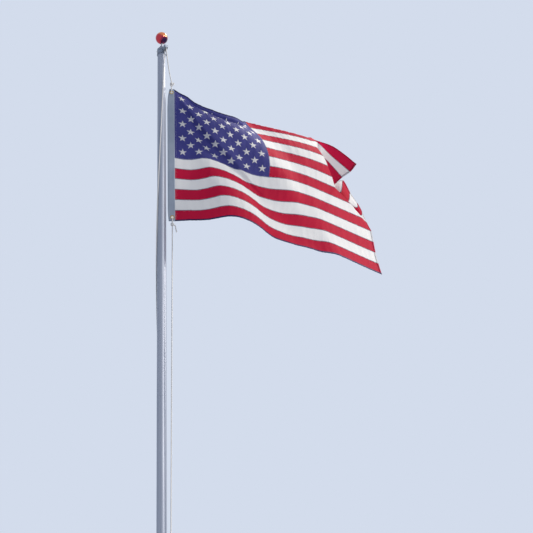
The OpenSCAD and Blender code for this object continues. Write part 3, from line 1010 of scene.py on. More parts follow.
    def knot_routes(
        self, at: np.ndarray, edge_z: float, way: int, tail: Sequence[Point]
    ) -> list[list[np.ndarray]]:
        """Routes of the loop through a grommet and of the turns round its legs.

        Args:
            at: Foot of the barrel of turns.
            edge_z: Height of the heading's edge that the loop passes.
            way: 1 where the barrel is above the grommet, -1 where it is below.
            tail: Steps of the free end from the last turn: sideways, forwards and up.

        Returns:
            The loop, and the turns with the rope's free tail.
        """
        rope_r = self.rope.rope_d / 2
        rim_z = edge_z - way * (self.grommet_in - self.grommet_hole_r)
        leg_in = rope_r + self.leg_fit
        leg_y = self.grommet_t / 2 + rope_r + self.seat
        near = at[2] + (0 if way > 0 else self.knot_h)
        far = at[2] + (self.knot_h if way > 0 else 0)
        here = np.array([at[0], at[1], 0])
        loop = [here + (0, -leg_in, far), here + (0, -leg_in, near), here + (0, -leg_y, edge_z)]
        for a in HALF_TURN:
            loop.append(here + (0, -leg_y * math.cos(a), rim_z - way * leg_y * math.sin(a)))
        loop += [here + (0, leg_y, edge_z), here + (0, leg_in, near), here + (0, leg_in, far)]
        steps = self.coil_steps
        wide, deep = self.knot_core_r - self.coil_squeeze, self.knot_core_r + self.coil_spread
        coil = []
        for k in range(self.knot_turns * steps + 1):
            a = math.tau * k / steps
            rise = near + way * (rope_r + k / steps * self.turn_h * self.coil_lay)
            coil.append(here + (wide * math.cos(a), deep * math.sin(a), rise))
        end = coil[-1]
        coil += [end + np.array([side, -out, up]) for side, out, up in tail]
        return [loop, coil]

    def build(self) -> None:
        """Makes the rope's pieces."""
        flag_foot = self.flag_top - self.hoist
        upper_knot = self.knot_routes(self.knot_up, self.flag_top, 1, self.upper_tail)
        lower_knot = self.knot_routes(self.knot_low, flag_foot, -1, self.lower_tail)
        runs = {
            "halyard_line_upper": ("halyard_upper", [self.upper_route()]),
            "halyard_line_turns": ("halyard_turns", [self.turns_route()]),
            "halyard_line_lower": ("halyard_lower", [self.lower_route()]),
            "hitch_upper": ("knot_upper", upper_knot),
            "hitch_lower": ("knot_lower", lower_knot),
        }
        for name, (node, routes) in runs.items():
            parts = MeshParts()
            for route in routes:
                self.rope.add(parts, route)
            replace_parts(parts.piece(name, [CORD], Slot.ROPE), node)


@dataclass
class Cleat:
    """The horn cleat and its two screws."""

    def dress(self, nodes: dict) -> None:
        """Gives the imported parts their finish.

        Args:
            nodes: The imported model's objects by name.
        """
        finish_node(nodes["cleat"], CASTING)
        for name in ("cleat_screw_top", "cleat_screw_bottom"):
            finish_node(nodes[name], ZINC)


@dataclass
class WindShape:
    """The cloth's shape in the wind: straight folds that turn and tip it, and a tucked corner.

    Distances from the heading and shares of the hoist go in, millimetres come out. The folds,
    the crest and the tuck are those of the part's own source.
    """

    hoist: float = 914.0
    fly: float = 1524.0
    heading_w: float = 41.0
    hoist_x: float = 34.0
    hoist_y: float = 30.0
    flag_top: float = 4949.0
    seam_gap: float = 0.4
    all_stripes: int = 13
    canton_stripes: int = 7
    canton_share: float = 0.4
    rows_per_stripe: int = 16
    canton_cols: int = 150
    main_cols: int = 150
    tuck_cols: int = 96
    first_turn: Pair = (23, -15)
    first_tip: Pair = (16.5, 4.5)
    # Crossing of the upper and lower edge, spread, turn above and below, tip above and below.
    folds: tuple[tuple[float, ...], ...] = (
        (0, 0.13, 0.12, -40, -6, -12, -34),
        (0.24, 0.2, 0.35, 71, -2, -9, 63),
        (-0.02, 0.23, 0.06, 46, 4, 35, 6),
        (-0.12, 0.63, 0.24, -26, -48, -15, -12),
        (0.17, 0.42, 0.1, 3, -24, -19, -9),
        (0.34, 0.66, 0.22, -32, 82, -47, 37),
        (0.65, 0.26, 0.4, 48, 73, -23, -30),
        (0.39, 0.66, 0.1, -45, -29, 61, -24),
    )
    crest_line: tuple[Pair, ...] = (
        (0, 0.664), (2, 0.674), (4, 0.715), (6, 0.769), (7, 0.877), (8, 0.944), (9, 0.971),
    )
    # Behind the crest, coming out again and on the fly edge, stripe by stripe.
    tuck: tuple[tuple[Point, Point, Point], ...] = (
        ((0.609, 0.302, 0.039), (0.692, 0.295, 0.108), (0.774, 0.243, 0.311)),
        ((0.628, 0.315, 0.054), (0.681, 0.302, 0.183), (0.741, 0.249, 0.367)),
        ((0.63, 0.328, 0.134), (0.663, 0.308, 0.219), (0.706, 0.256, 0.406)),
        ((0.635, 0.328, 0.22), (0.656, 0.302, 0.331), (0.671, 0.262, 0.46)),
        ((0.643, 0.318, 0.327), (0.693, 0.283, 0.5), (0.715, 0.295, 0.386)),
        ((0.656, 0.312, 0.409), (0.729, 0.315, 0.539), (0.753, 0.341, 0.439)),
        ((0.671, 0.318, 0.482), (0.769, 0.341, 0.562), (0.782, 0.354, 0.512)),
        ((0.754, 0.341, 0.57), (0.794, 0.358, 0.611), (0.802, 0.364, 0.572)),
        ((0.801, 0.356, 0.64), (0.81, 0.362, 0.652), (0.818, 0.367, 0.659)),
    )
    tuck_lead: float = 0.04
    edge_lead: float = 1.3
    # Soft bulges that lay the cloth off its plain folds: place, reach and shift in millimetres.
    bulges: tuple[tuple[Point, Point], ...] = (
        ((142, 148, 100), (9, 0, -10)),
        ((261, 270, 100), (9, 0, -10)),
        ((379, 394, 110), (9, 0, -8)),
        ((540, 420, 110), (9, 0, -2)),
        ((1483, 0, 42), (-6, 0, 3)),
        ((1483, 960, 330), (0, 0, -20)),
    )
    # The ridge that runs down across the union from the upper grommet: place and height.
    ridge: tuple[Point, ...] = (
        (14, 25, 0), (47, 98, 14), (95, 177, 24), (142, 246, 29), (190, 295, 31), (237, 344, 31),
        (284, 394, 29), (332, 443, 24), (379, 492, 18), (460, 560, 9), (540, 620, 5), (590, 740, 0),
    )
    ridge_off: float = 14.0
    # Reach of its steep near side and its gentle far side.
    ridge_w: Pair = (19.0, 80.0)
    ridge_slant: float = 0.72
    # The pleat under the upper edge: place, cloth that goes back, and height of its open slit.
    pleat: tuple[Point, ...] = (
        (0, 0, 0), (70, 0, 0), (142, 25, 6), (190, 31, 8), (237, 36, 14), (284, 42, 18),
        (332, 46, 22), (400, 44, 24), (470, 28, 14), (540, 6, 3), (568, 0, 0),
    )
    pleat_edge: float = 24.0
    pleat_dip: float = 38.0
    # Share of the slit that is open at the pocket's foot, and lean of the cloth above the lip.
    pleat_open: float = 0.3
    pleat_lean: float = 0.2
    # Pocket from which the pleat shows in full, rows below the lip that are softened, and rounds.
    pleat_fade: float = 18.0
    soft_rows: int = 3
    soft_rounds: int = 2
    curl_r: float = 30.0
    curl_fade: float = 24.0
    curl_rise: float = 0.7
    # Width beside the heading over which its seam holds the cloth still.
    held_w: float = 60.0
    # Reach, length and height of the puckers along a seam.
    puckers: Point = (11.0, 23.0, 0.55)
    # Lengths in which the two waves of the fine creases turn by a radian, and their height.
    creases: Point = (9.3, 37.0, 0.7)

    def __post_init__(self) -> None:
        """Works out the cloth's grid of points, its normals and its flat coordinates."""
        self.cloth_l = self.fly - self.heading_w
        self.cloth_x = self.hoist_x + self.heading_w
        self.canton_l = self.canton_share * self.fly - self.heading_w
        shares = np.arange(self.all_stripes * self.rows_per_stripe + 1)
        self.shares = shares / shares[-1]
        self.crests = self.cloth_l * np.interp(
            self.shares * self.all_stripes, *np.array(self.crest_line).T
        )
        self.reach = np.array([self.columns(c) for c in self.crests])
        self.points = self.walk(self.shares, self.reach)
        self.fold_corner()
        self.down = self.hoist * self.shares[:, None] + 0 * self.reach
        for (u, v, reach), shift in self.bulges:
            near = np.exp(-(((self.reach - u) / reach) ** 2) - ((self.down - v) / reach) ** 2)
            held = ease(self.reach / self.held_w)
            self.points = self.points + (near * held)[..., None] * np.array(shift, float)
        self.normals = self.face_out(self.points)
        self.points = self.points + self.normals * self.raised()[..., None]
        self.lay_pleat()
        self.curl_edge()
        self.normals = self.face_out(self.points)
        self.points = self.points + self.normals * self.slack()[..., None]
        self.normals = self.face_out(self.points)

    def columns(self, crest: float) -> np.ndarray:
        """Places a row's points along the cloth.

        Args:
            crest: How far from the heading the row's crest lies.

        Returns:
            Their distances from the heading.
        """
        return np.concatenate(
            [
                np.linspace(0, self.canton_l, self.canton_cols + 1),
                np.linspace(self.canton_l, crest, self.main_cols + 1)[1:],
                np.linspace(crest, self.cloth_l, self.tuck_cols + 1)[1:],
            ]
        )

    def walk(self, shares: np.ndarray, reach: np.ndarray) -> np.ndarray:
        """Follows each row out from the heading.

        Args:
            shares: Each row's share of the hoist.
            reach: Each row's distances from the heading.

        Returns:
            Points in millimetres, by row and column.
        """
        t = shares[:, None]
        middle = (reach[:, 1:] + reach[:, :-1]) / 2
        turn = mix(*self.first_turn, t) + 0 * middle
        tip = mix(*self.first_tip, t) + 0 * middle
        for upper, lower, spread, turn_up, turn_low, tip_up, tip_low in self.folds:
            bend = ease((middle / self.cloth_l - mix(upper, lower, t)) / spread + 0.5)
            turn += bend * mix(turn_up, turn_low, t)
            tip += bend * mix(tip_up, tip_low, t)
        turn, tip = np.radians(turn), np.radians(tip)
        stride = np.stack(
            [np.cos(turn) * np.cos(tip), np.sin(turn) * np.cos(tip), -np.sin(tip)], axis=-1
        ) * np.diff(reach, axis=1)[..., None]
        start = np.stack(
            [
                np.full(len(shares), self.cloth_x + self.seam_gap),
                np.full(len(shares), -self.hoist_y),
                self.flag_top - self.hoist * shares,
            ],
            axis=-1,
        )[:, None]
        return np.concatenate([start, start + np.cumsum(stride, axis=1)], axis=1)

    def fold_corner(self) -> None:
        """Lays the upper fly corner behind the crest and out again, over the upper stripes."""
        origin = np.array([self.cloth_x + self.seam_gap, -self.hoist_y, self.flag_top])
        scale = np.array([self.fly, self.fly, -self.hoist])
        stripes = len(self.tuck)
        crest = self.canton_cols + self.main_cols
        flat_row = self.points[stripes * self.rows_per_stripe]
        guides = [
            [origin + scale * np.array(row[m]) for row in self.tuck]
            + [flat_row[crest + self.tuck_cols * (m + 1) // 3]]
            for m in range(3)
        ]
        for j in range(stripes * self.rows_per_stripe):
            row = self.points[j]
            lead = row[crest] - self.tuck_lead * self.fly * unit(row[crest] - row[crest - 2])
            behind, out, edge = (span_at(g, j / self.rows_per_stripe) for g in guides)
            steer = [lead, row[crest], behind, out, edge, mix(out, edge, self.edge_lead)]
            for i in range(1, self.tuck_cols + 1):
                at = 3 * i / self.tuck_cols
                s = min(int(at), 2)
                row[crest + i] = spline(*steer[s : s + 4], at - s)

    def raised(self) -> np.ndarray:
        """Works out the ridge across the union.

        Returns:
            Its height in millimetres at every point.
        """
        place, down, height = np.array(self.ridge).T
        off = (self.reach - np.interp(self.down, down, place)) * self.ridge_slant - self.ridge_off
        wide = np.where(off < 0, *self.ridge_w)
        return np.interp(self.down, down, height) * np.exp(-((off / wide) ** 2))

    def curl_edge(self) -> None:
        """Rolls the upper edge back, more and more from the union to the crest."""
        down = self.down[:, 0]
        first, last = self.canton_cols, self.canton_cols + self.main_cols
        before = self.points[:, last].copy()
        for i in range(first + 1, last + 1):
            r = self.curl_r * ((i - first) / self.main_cols) ** self.curl_rise
            foot = int(np.searchsorted(down, math.pi / 2 * r))
            back = -unit(self.normals[foot, i] * (1, 1, 0))
            rise = unit(self.points[foot, i] - self.points[foot + 3, i])
            for j in range(foot):
                a = (down[foot] - down[j]) / r
                self.points[j, i] = (
                    self.points[foot, i] + back * r * (1 - math.cos(a)) + rise * r * math.sin(a)
                )
        fade = 1 - ease(np.arange(1, self.tuck_cols + 1) / self.curl_fade)
        shift = self.points[:, last] - before
        self.points[:, last + 1 :] += shift[:, None] * fade[None, :, None]

    def lay_pleat(self) -> None:
        """Lays a pocket of cloth back and down behind the lip under the upper edge."""
        up = np.array([0.0, 0.0, 1.0])
        place, pockets, slits = np.array(self.pleat).T
        dip = math.radians(self.pleat_dip)
        down = self.down[:, 0]
        for i in range(self.canton_cols):
            u = self.reach[0, i]
            pocket, slit = np.interp(u, place, pockets), np.interp(u, place, slits)
            if pocket < 1:
                continue
            column = self.points[:, i].copy()
            lip_v = self.pleat_edge + 2 * pocket
            lip_row = int(np.searchsorted(down, lip_v))
            lip = np.array([np.interp(lip_v, down, column[:, k]) for k in range(3)])
            out = unit(self.normals[lip_row, i] * (1, 1, 0))
            back = -out * math.cos(dip) - up * math.sin(dip)
            share = float(ease(pocket / self.pleat_fade))
            for j in range(lip_row):
                run = lip_v - down[j]
                if run < pocket:
                    at = lip + back * run + up * slit * self.pleat_open * run / pocket
                elif run < 2 * pocket:
                    rise = self.pleat_open + (1 - self.pleat_open) * (run - pocket) / pocket
                    at = lip + back * (2 * pocket - run) + up * slit * rise
                else:
                    at = lip + up * slit + (up - self.pleat_lean * out) * (run - 2 * pocket)
                self.points[j, i] = mix(column[j], at, share)
            for _ in range(self.soft_rounds):
                soft = self.points[: lip_row + self.soft_rows + 1, i]
                soft[1:-1] = (soft[:-2] + 2 * soft[1:-1] + soft[2:]) / 4

    @staticmethod
    def face_out(points: np.ndarray) -> np.ndarray:
        """Unit normals of a grid, towards the side that the flag's front shows."""
        out = np.cross(np.gradient(points, axis=1), np.gradient(points, axis=0))
        return unit(-out)

    def slack(self) -> np.ndarray:
        """Works out the small relief of puckered seams and fine upright creases.

        The bare numbers in the waves only keep them from falling into step.

        Returns:
            Its height in millimetres at every point.
        """
        u, v = self.reach, self.down
        pitch = self.hoist / self.all_stripes
        seam = np.round(v / pitch)
        wide, length, pucker_h = self.puckers
        wander = 1.7 * np.sin(u / 61 + seam)
        wave = np.sin(math.tau * u / length + 2.1 * seam + wander)
        pucker = np.exp(-(((v - seam * pitch) / wide) ** 2)) * wave
        narrow, broad, crease_h = self.creases
        crease = np.sin(u / narrow + 1.3 * np.sin(v / 83 + u / 190))
        crease *= np.sin(u / broad + 0.9 * np.sin(v / 57 + 1))
        held = np.clip(u / self.held_w, 0, 1)
        return (pucker_h * pucker + crease_h * crease) * held

    def at(self, u: np.ndarray, v: np.ndarray, lift: np.ndarray) -> np.ndarray:
        """Points on or off the cloth.

        Args:
            u: Millimetres from the heading.
            v: Millimetres down from the upper edge.
            lift: Millimetres off the cloth, towards its front.

        Returns:
            Points in millimetres.
        """
        u, v, lift = np.broadcast_arrays(u, v, lift)
        row = np.clip(v / self.hoist, 0, 1) * (len(self.shares) - 1)
        crest = np.interp(row, np.arange(len(self.shares)), self.crests)
        canton, main = self.canton_cols, self.main_cols
        column = np.where(
            u <= self.canton_l,
            canton * u / self.canton_l,
            np.where(
                u <= crest,
                canton + main * (u - self.canton_l) / (crest - self.canton_l),
                canton + main + self.tuck_cols * (u - crest) / (self.cloth_l - crest),
            ),
        )
        column = np.clip(column, 0, canton + main + self.tuck_cols - 1e-6)
        row = np.clip(row, 0, len(self.shares) - 1 - 1e-6)
        j, i = row.astype(int), column.astype(int)
        b, a = (row - j)[..., None], (column - i)[..., None]

        def blend(grid: np.ndarray) -> np.ndarray:
            """Value of a grid between its points."""
            upper = mix(grid[j, i], grid[j, i + 1], a)
            return mix(upper, mix(grid[j + 1, i], grid[j + 1, i + 1], a), b)

        return blend(self.points) + unit(blend(self.normals)) * lift[..., None]


@dataclass
class Flag:
    """The sewn flag: cloth, stars, hems, stitching and the canvas heading."""

    shape: WindShape = field(default_factory=WindShape)
    star_r: float = 25.5
    star_waist: float = 0.382
    star_points: int = 5
    star_rows: int = 9
    star_columns: int = 11
    # From a star's rim to its middle: share of its size, and lift off the cloth.
    star_levels: tuple[Pair, ...] = ((1.0, 0.15), (0.93, 0.75), (0.6, 0.95), (0.25, 1.1))
    hem_w: float = 9.0
    hem_t: float = 0.7
    fly_hem_w: float = 16.0
    stitch_l: float = 4.2
    stitch_gap: float = 6.0
    stitch_off: float = 3.0
    # Lift of a stitch's ends and of its back off the cloth, and half of its width.
    stitch_lift: float = 0.25
    stitch_h: float = 1.1
    stitch_r: float = 0.45
    # Rows of stitches beside the heading, on the fly edge and on the inner edge of its hem.
    heading_rows: Pair = (4.0, 10.0)
    edge_row: float = 3.0
    hem_row: float = 2.0
    # Across a folded hem: share of its width inwards, and height in its thickness.
    hem_profile: tuple[Pair, ...] = (
        (1, 0.1), (1, 1), (0.12, 1.25), (0, 0), (0.12, -1.25), (1, -1), (1, -0.1),
    )
    # Shift of the weave from each line along a hem to the next.
    hem_weave: Pair = (1.0, 2.0)
    # Points along the edges beside the union, beyond it, and down one stripe.
    hem_steps: tuple[int, int, int] = (140, 260, 18)
    heading_t: float = 2.0
    heading_bow: tuple[Pair, ...] = ((0.3, 0), (0.07, 0.065), (0, 0.15), (0, 0.93), (0.12, 1))
    heading_grid: tuple[int, int] = (200, 13)
    # Rows over which the bow is smoothed, and height and length of the tape's waves.
    bow_blur: int = 13
    tape_wave: Pair = (0.35, 31.0)
    # Share of the tape's thickness at its slack outer edge, and its growth across the width.
    tape_edge: float = 0.4
    tape_taper: float = 6.0
    grommet_share: float = 0.62
    grommet_in: float = 25.0
    grommet_hole_r: float = 8.3

    def cloth(self) -> bpy.types.Object:
        """Makes the sewn panels as one cloth.

        Returns:
            The cloth.
        """
        shape = self.shape
        rows, columns = shape.points.shape[:2]
        faces = grid_faces(rows, columns)
        row = faces[:, 0] // columns
        column = faces[:, 0] % columns
        stripe = row // shape.rows_per_stripe
        union = (stripe < shape.canton_stripes) & (column < shape.canton_cols)
        finish = np.where(union, 2, stripe % 2)
        flat = np.stack(
            [shape.reach, shape.hoist * shape.shares[:, None] + 0 * shape.reach], axis=-1
        )
        parts = MeshParts()
        parts.add(shape.points, faces, flat * MM)
        parts.finish_of = finish.tolist()
        dyes = [RED_NYLON, WHITE_NYLON, BLUE_NYLON]
        cloth = parts.piece("flag_cloth", dyes, Slot.WHITE_CLOTH)
        stripes = [f"stripe_{k:02d}" for k in range(1, shape.all_stripes + 1)]
        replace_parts(cloth, "canton", *stripes)
        return cloth

    def stars(self) -> bpy.types.Object:
        """Makes the embroidered stars on both faces of the union.

        Returns:
            The piece with all the stars.
        """
        shape = self.shape
        parts = MeshParts()
        corners = []
        for k in range(2 * self.star_points):
            r = 1.0 if k % 2 == 0 else self.star_waist
            a = math.pi * k / self.star_points
            corners.append((r * math.sin(a), -r * math.cos(a)))
        corners = np.array(corners)
        following = np.roll(corners, -1, axis=0)
        edge = [mix(corners, following, k / 3)[:, None] for k in range(3)]
        ring = np.concatenate(edge, axis=1).reshape(-1, 2)
        levels = self.star_levels
        count = len(ring)
        plan = np.concatenate([ring * s for s, _ in levels] + [[(0, 0)]])
        lift = np.concatenate([np.full(count, h) for _, h in levels] + [[levels[-1][1]]])
        quads = grid_faces(len(levels), count, closed=True).tolist()
        hub = count * len(levels)
        last = count * (len(levels) - 1)
        fans = [[last + k, last + (k + 1) % count, hub] for k in range(count)]
        pitch_v = shape.hoist * shape.canton_stripes / shape.all_stripes / (self.star_rows + 1)
        pitch_u = shape.canton_l / (self.star_columns + 1)
        for side in (1, -1):
            for r in range(1, self.star_rows + 1):
                for c in range(1, self.star_columns + 1):
                    if (r + c) % 2:
                        continue
                    spot = plan * self.star_r + (c * pitch_u, r * pitch_v)
                    points = shape.at(spot[:, 0], spot[:, 1], side * lift)
                    for group in (quads, fans):
                        order = group if side > 0 else [f[::-1] for f in group]
                        parts.add(points, order, plan * self.star_r * MM)
        return parts.piece("embroidered_stars", [THREAD], Slot.WHITE_CLOTH)

    def hems(self) -> bpy.types.Object:
        """Makes the folded hems along the upper, lower and fly edges.

        Returns:
            The piece with all the hems.
        """
        shape = self.shape
        parts = MeshParts()
        pitch = shape.hoist / shape.all_stripes
        weave_u, weave_v = self.hem_weave

        def strip(u: np.ndarray, v: np.ndarray, inward: Pair, width: float, finish: int) -> None:
            """Adds a folded strip along one edge.

            Args:
                u: Distances of the edge's points from the heading.
                v: Their distances down from the upper edge.
                inward: The way from the edge into the cloth, in u and v.
                width: How far the strip reaches inwards.
                finish: Which of the piece's finishes it takes.
            """
            rings, flat = [], []
            for k, (share, height) in enumerate(self.hem_profile):
                into_u, into_v = (way * share * width for way in inward)
                rings.append(shape.at(u + into_u, v + into_v, height * self.hem_t))
                flat.append(np.stack([u + k * weave_u, v + k * weave_v], axis=-1))
            faces = grid_faces(len(u), len(rings))
            parts.add(np.stack(rings, axis=1), faces, np.stack(flat, axis=1) * MM, finish)

        inner_steps, outer_steps, stripe_steps = self.hem_steps
        inner = np.linspace(0, shape.canton_l, inner_steps)
        outer = np.linspace(shape.canton_l, shape.cloth_l, outer_steps)
        whole = np.linspace(0, shape.cloth_l, inner_steps + outer_steps)
        # The upper hem beside the union and the whole lower hem take the dark navy painted shade.
        strip(inner, 0 * inner, (0, 1), self.hem_w, 2)
        strip(outer, 0 * outer, (0, 1), self.hem_w, 0)
        strip(whole, 0 * whole + shape.hoist, (0, -1), self.hem_w, 2)
        for k in range(shape.all_stripes):
            v = np.linspace(k * pitch, (k + 1) * pitch, stripe_steps)
            strip(0 * v + shape.cloth_l, v, (-1, 0), self.fly_hem_w, k % 2)
        return parts.piece("folded_hems", [RED_HEM, WHITE_HEM, NAVY_HEM_PAINTED_SHADE], Slot.RED_CLOTH)

    def seam_lines(self) -> Iterator[tuple[Pair, Pair]]:
        """Runs through the rows of stitches.

        Returns:
            Both ends of each row, in millimetres from the heading and down.
        """
        shape = self.shape
        pitch = shape.hoist / shape.all_stripes
        for k in range(1, shape.all_stripes):
            start = shape.canton_l if k < shape.canton_stripes else 0
            for off in (-self.stitch_off, self.stitch_off):
                yield (start, k * pitch + off), (shape.cloth_l, k * pitch + off)
        for off in (-self.stitch_off, self.stitch_off):
            u = shape.canton_l + off
            yield (u, 0), (u, shape.canton_stripes * pitch)
        for u in self.heading_rows:
            yield (u, 0), (u, shape.hoist)
        for u in (self.edge_row, self.fly_hem_w - self.hem_row):
            yield (shape.cloth_l - u, 0), (shape.cloth_l - u, shape.hoist)

    def stitches(self) -> bpy.types.Object:
        """Makes the rows of lockstitch as small spindles of thread on both faces.

        The real stitches are 3 mm long; they are drawn 6 mm apart.

        Returns:
            The piece with all the stitches.
        """
        shape = self.shape
        starts, ends = [], []
        for a, b in self.seam_lines():
            a, b = np.array(a, float), np.array(b, float)
            length = np.linalg.norm(b - a)
            along = np.arange(self.stitch_gap, length - self.stitch_gap, self.stitch_gap)
            way = (b - a) / length
            starts.append(a + along[:, None] * way)
            ends.append(a + (along + self.stitch_l)[:, None] * way)
        start, end = np.concatenate(starts), np.concatenate(ends)
        half = (start + end) / 2
        parts = MeshParts()
        spindle = np.array([[0, 2, 4], [0, 4, 3], [0, 3, 2], [1, 4, 2], [1, 3, 4], [1, 2, 3]])
        for side in (1, -1):
            lift = side * self.stitch_lift
            first, second, middle = (shape.at(*spot.T, lift) for spot in (start, end, half))
            over = shape.at(*half.T, side * self.stitch_h)
            across = unit(np.cross(second - first, unit(over - middle))) * self.stitch_r
            points = np.stack([first, second, middle - across, middle + across, over], axis=1)
            count, corners = points.shape[:2]
            faces = (spindle[None] + corners * np.arange(count)[:, None, None]).reshape(-1, 3)
            parts.add(points.reshape(-1, 3), faces)
        return parts.piece("seam_stitches", [THREAD], Slot.WHITE_CLOTH)

    def heading(self) -> bpy.types.Object:
        """Makes the canvas heading with its slack outer edge and its two eyelet holes.

        Returns:
            The heading.
        """
        shape = self.shape
        bow = np.array(self.heading_bow)
        rows, columns = self.heading_grid
        v = np.linspace(0, 1, rows)
        smooth = np.interp(v, bow[:, 1], bow[:, 0])
        kernel = np.hanning(self.bow_blur)
        kernel /= kernel.sum()
        padded = np.pad(smooth, self.bow_blur // 2, mode="reflect", reflect_type="odd")
        left = np.convolve(padded, kernel, mode="valid")
        s = np.linspace(0, 1, columns)
        x = shape.hoist_x + mix(left[:, None] * shape.heading_w, shape.heading_w, s[None])
        z = shape.flag_top - shape.hoist * v[:, None] + 0 * x
        thick = self.heading_t / 2 * np.minimum(1, self.tape_taper * s + self.tape_edge)[None]
        high, length = self.tape_wave
        wave = high * np.sin(z / length) * np.sin(math.pi * s)[None]
        front = np.stack([x, -shape.hoist_y - thick + wave, z], axis=-1)
        back = np.stack([x, -shape.hoist_y + thick + wave, z], axis=-1)[:, ::-1]
        ring = np.concatenate([front, back], axis=1)
        count = ring.shape[1]
        parts = MeshParts()
        faces = grid_faces(rows, count, closed=True).tolist()
        caps = [list(range(count)), list(range((rows - 1) * count, rows * count))[::-1]]
        flat = np.stack([ring[..., 0], ring[..., 2]], axis=-1)
        parts.add(ring, faces, flat * MM)
        parts.faces.extend(caps)
        parts.finish_of.extend([0, 0])
        piece = parts.piece("canvas_heading", [DUCK], Slot.CANVAS)
        self.punch(piece)
        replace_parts(piece, "heading")
        return piece

    def punch(self, piece: bpy.types.Object) -> None:
        """Cuts the two eyelet holes through the heading.

        Args:
            piece: The heading.
        """
        shape = self.shape
        x = shape.hoist_x + self.grommet_share * shape.heading_w
        for z in (shape.flag_top - self.grommet_in, shape.flag_top - shape.hoist + self.grommet_in):
            bpy.ops.mesh.primitive_cylinder_add(
                vertices=40,
                radius=self.grommet_hole_r * MM,
                depth=20 * MM,
                location=(x * MM, -shape.hoist_y * MM, z * MM),
                rotation=(math.pi / 2, 0, 0),
            )
            cutter = bpy.context.object
            cut = piece.modifiers.new("eyelet", "BOOLEAN")
            cut.object = cutter
            cut.operation = "DIFFERENCE"
            cut.solver = "EXACT"
            bpy.context.view_layer.objects.active = piece
            bpy.ops.object.modifier_apply(modifier=cut.name)
            bpy.data.objects.remove(cutter)

    def build(self, nodes: dict) -> None:
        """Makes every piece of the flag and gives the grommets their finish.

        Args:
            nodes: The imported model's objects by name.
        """
        cloth = self.cloth()
        extras = [self.stars(), self.hems(), self.stitches(), self.heading()]
        for name in ("grommet_upper", "grommet_lower"):
            finish_node(nodes[name], BRASS)


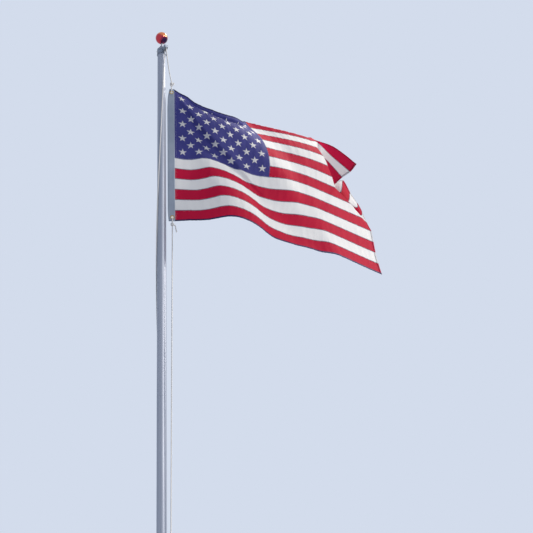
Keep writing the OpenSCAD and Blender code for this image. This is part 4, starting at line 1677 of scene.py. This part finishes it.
@dataclass
class Studio:
    """Pale floor and backdrop, soft lamps, and the camera at the photograph's place."""

    floor_r: float = 9.0
    floor_sides: int = 96
    floor_rings: tuple[float, ...] = (0.02, 0.1, 0.3, 1.0)
    world_light: float = 0.22
    world_tint: str = "#BBD4FB"
    backdrop: str = "#D3DCEC"
    # Each lamp's name, turn from the fly side towards the back, rise and power.
    lamp_places: tuple[tuple[str, float, float, float], ...] = (
        ("key", -8.0, 30.0, 2.1),
        ("rim", 22.0, 56.0, 2.2),
        ("strip", -50.0, 20.0, 0.9),
    )
    lamp_tint: str = "#FFF7EC"
    lamp_softness: float = 6.0
    lamp_far: float = 10.0
    eye: Point = (0.0, -4.49, 1.57)
    aim: Point = (115.912, 2.913, -5.972)
    # 900 pixels to the picture plane at 533 pixels across.
    lens_px: float = 900.0
    frame_px: float = 533.0
    sensor: float = 36.0

    def floor(self) -> None:
        """Makes the round floor."""
        sides, radii = self.floor_sides, self.floor_rings
        turns = np.linspace(0, math.tau, sides, endpoint=False)
        rim = np.stack([np.cos(turns), np.sin(turns), 0 * turns], axis=-1)
        rings = np.concatenate([rim * r * self.floor_r for r in radii])
        mesh = bpy.data.meshes.new("studio_floor")
        faces = grid_faces(len(radii), sides, closed=True).tolist() + [list(range(sides))]
        mesh.from_pydata(rings.tolist(), [], faces)
        mesh.materials.append(FLOOR.material())
        floor = bpy.data.objects.new("studio_floor", mesh)
        bpy.context.scene.collection.objects.link(floor)

    def world(self) -> None:
        """Lights the object evenly, and shows a pale backdrop to the camera and in metal."""
        world = bpy.data.worlds.new("studio")
        bpy.context.scene.world = world
        world.use_nodes = True
        tree = world.node_tree
        tree.nodes.clear()
        path = add_node(tree, "LightPath").outputs
        shown = path["Is Camera Ray"]
        for ray in ("Is Glossy Ray", "Is Transmission Ray"):
            either = {0: shown, 1: path[ray]}
            shown = add_node(tree, "Math", {"operation": "MAXIMUM"}, either).outputs[0]
        lit = {"Color": linear(self.world_tint), "Strength": self.world_light}
        light = add_node(tree, "Background", lit).outputs[0]
        pale = {"Color": linear(self.backdrop), "Strength": 1.0}
        seen = add_node(tree, "Background", pale).outputs[0]
        both = add_node(tree, "MixShader", links={0: shown, 1: light, 2: seen}).outputs[0]
        add_node(tree, "OutputWorld", links={"Surface": both})

    def lamps(self) -> None:
        """Hangs a key lamp on the fly side, a high rim lamp behind it and a weak strip in front."""
        for name, turn, rise, power in self.lamp_places:
            lamp = bpy.data.lights.new(name, "SUN")
            lamp.energy = power
            lamp.color = linear(self.lamp_tint)[:3]
            lamp.angle = math.radians(self.lamp_softness)
            hung = bpy.data.objects.new(name, lamp)
            bpy.context.scene.collection.objects.link(hung)
            flat = math.cos(math.radians(rise))
            towards = Vector(polar(flat, turn, math.sin(math.radians(rise))))
            hung.rotation_euler = towards.to_track_quat("Z", "Y").to_euler()
            hung.location = towards * self.lamp_far

    def camera(self) -> None:
        """Sets the camera where the photograph was taken."""
        lens = bpy.data.cameras.new("camera")
        lens.sensor_width = self.sensor
        lens.lens = self.sensor * self.lens_px / self.frame_px
        lens.clip_end = 200
        camera = bpy.data.objects.new("camera", lens)
        bpy.context.scene.collection.objects.link(camera)
        camera.location = self.eye
        camera.rotation_euler = Euler([math.radians(a) for a in self.aim], "XYZ")
        bpy.context.scene.camera = camera

    def build(self) -> None:
        """Makes the whole studio."""
        bpy.context.scene.view_settings.view_transform = "Standard"
        self.camera()
        self.world()
        self.lamps()
        self.floor()


def main() -> None:
    """Builds every part in order."""
    logging.basicConfig(level=logging.INFO, format="%(name)s: %(message)s")
    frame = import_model()
    nodes = frame["nodes"]
    Studio().build()
    pole, truck = Pole(), Truck()
    pole.dress(nodes)
    truck.dress(nodes)
    Finial().build(nodes)
    Halyard(pole, truck).build()
    Cleat().dress(nodes)
    Flag().build(nodes)
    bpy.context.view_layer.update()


if __name__ == "__main__":
    main()
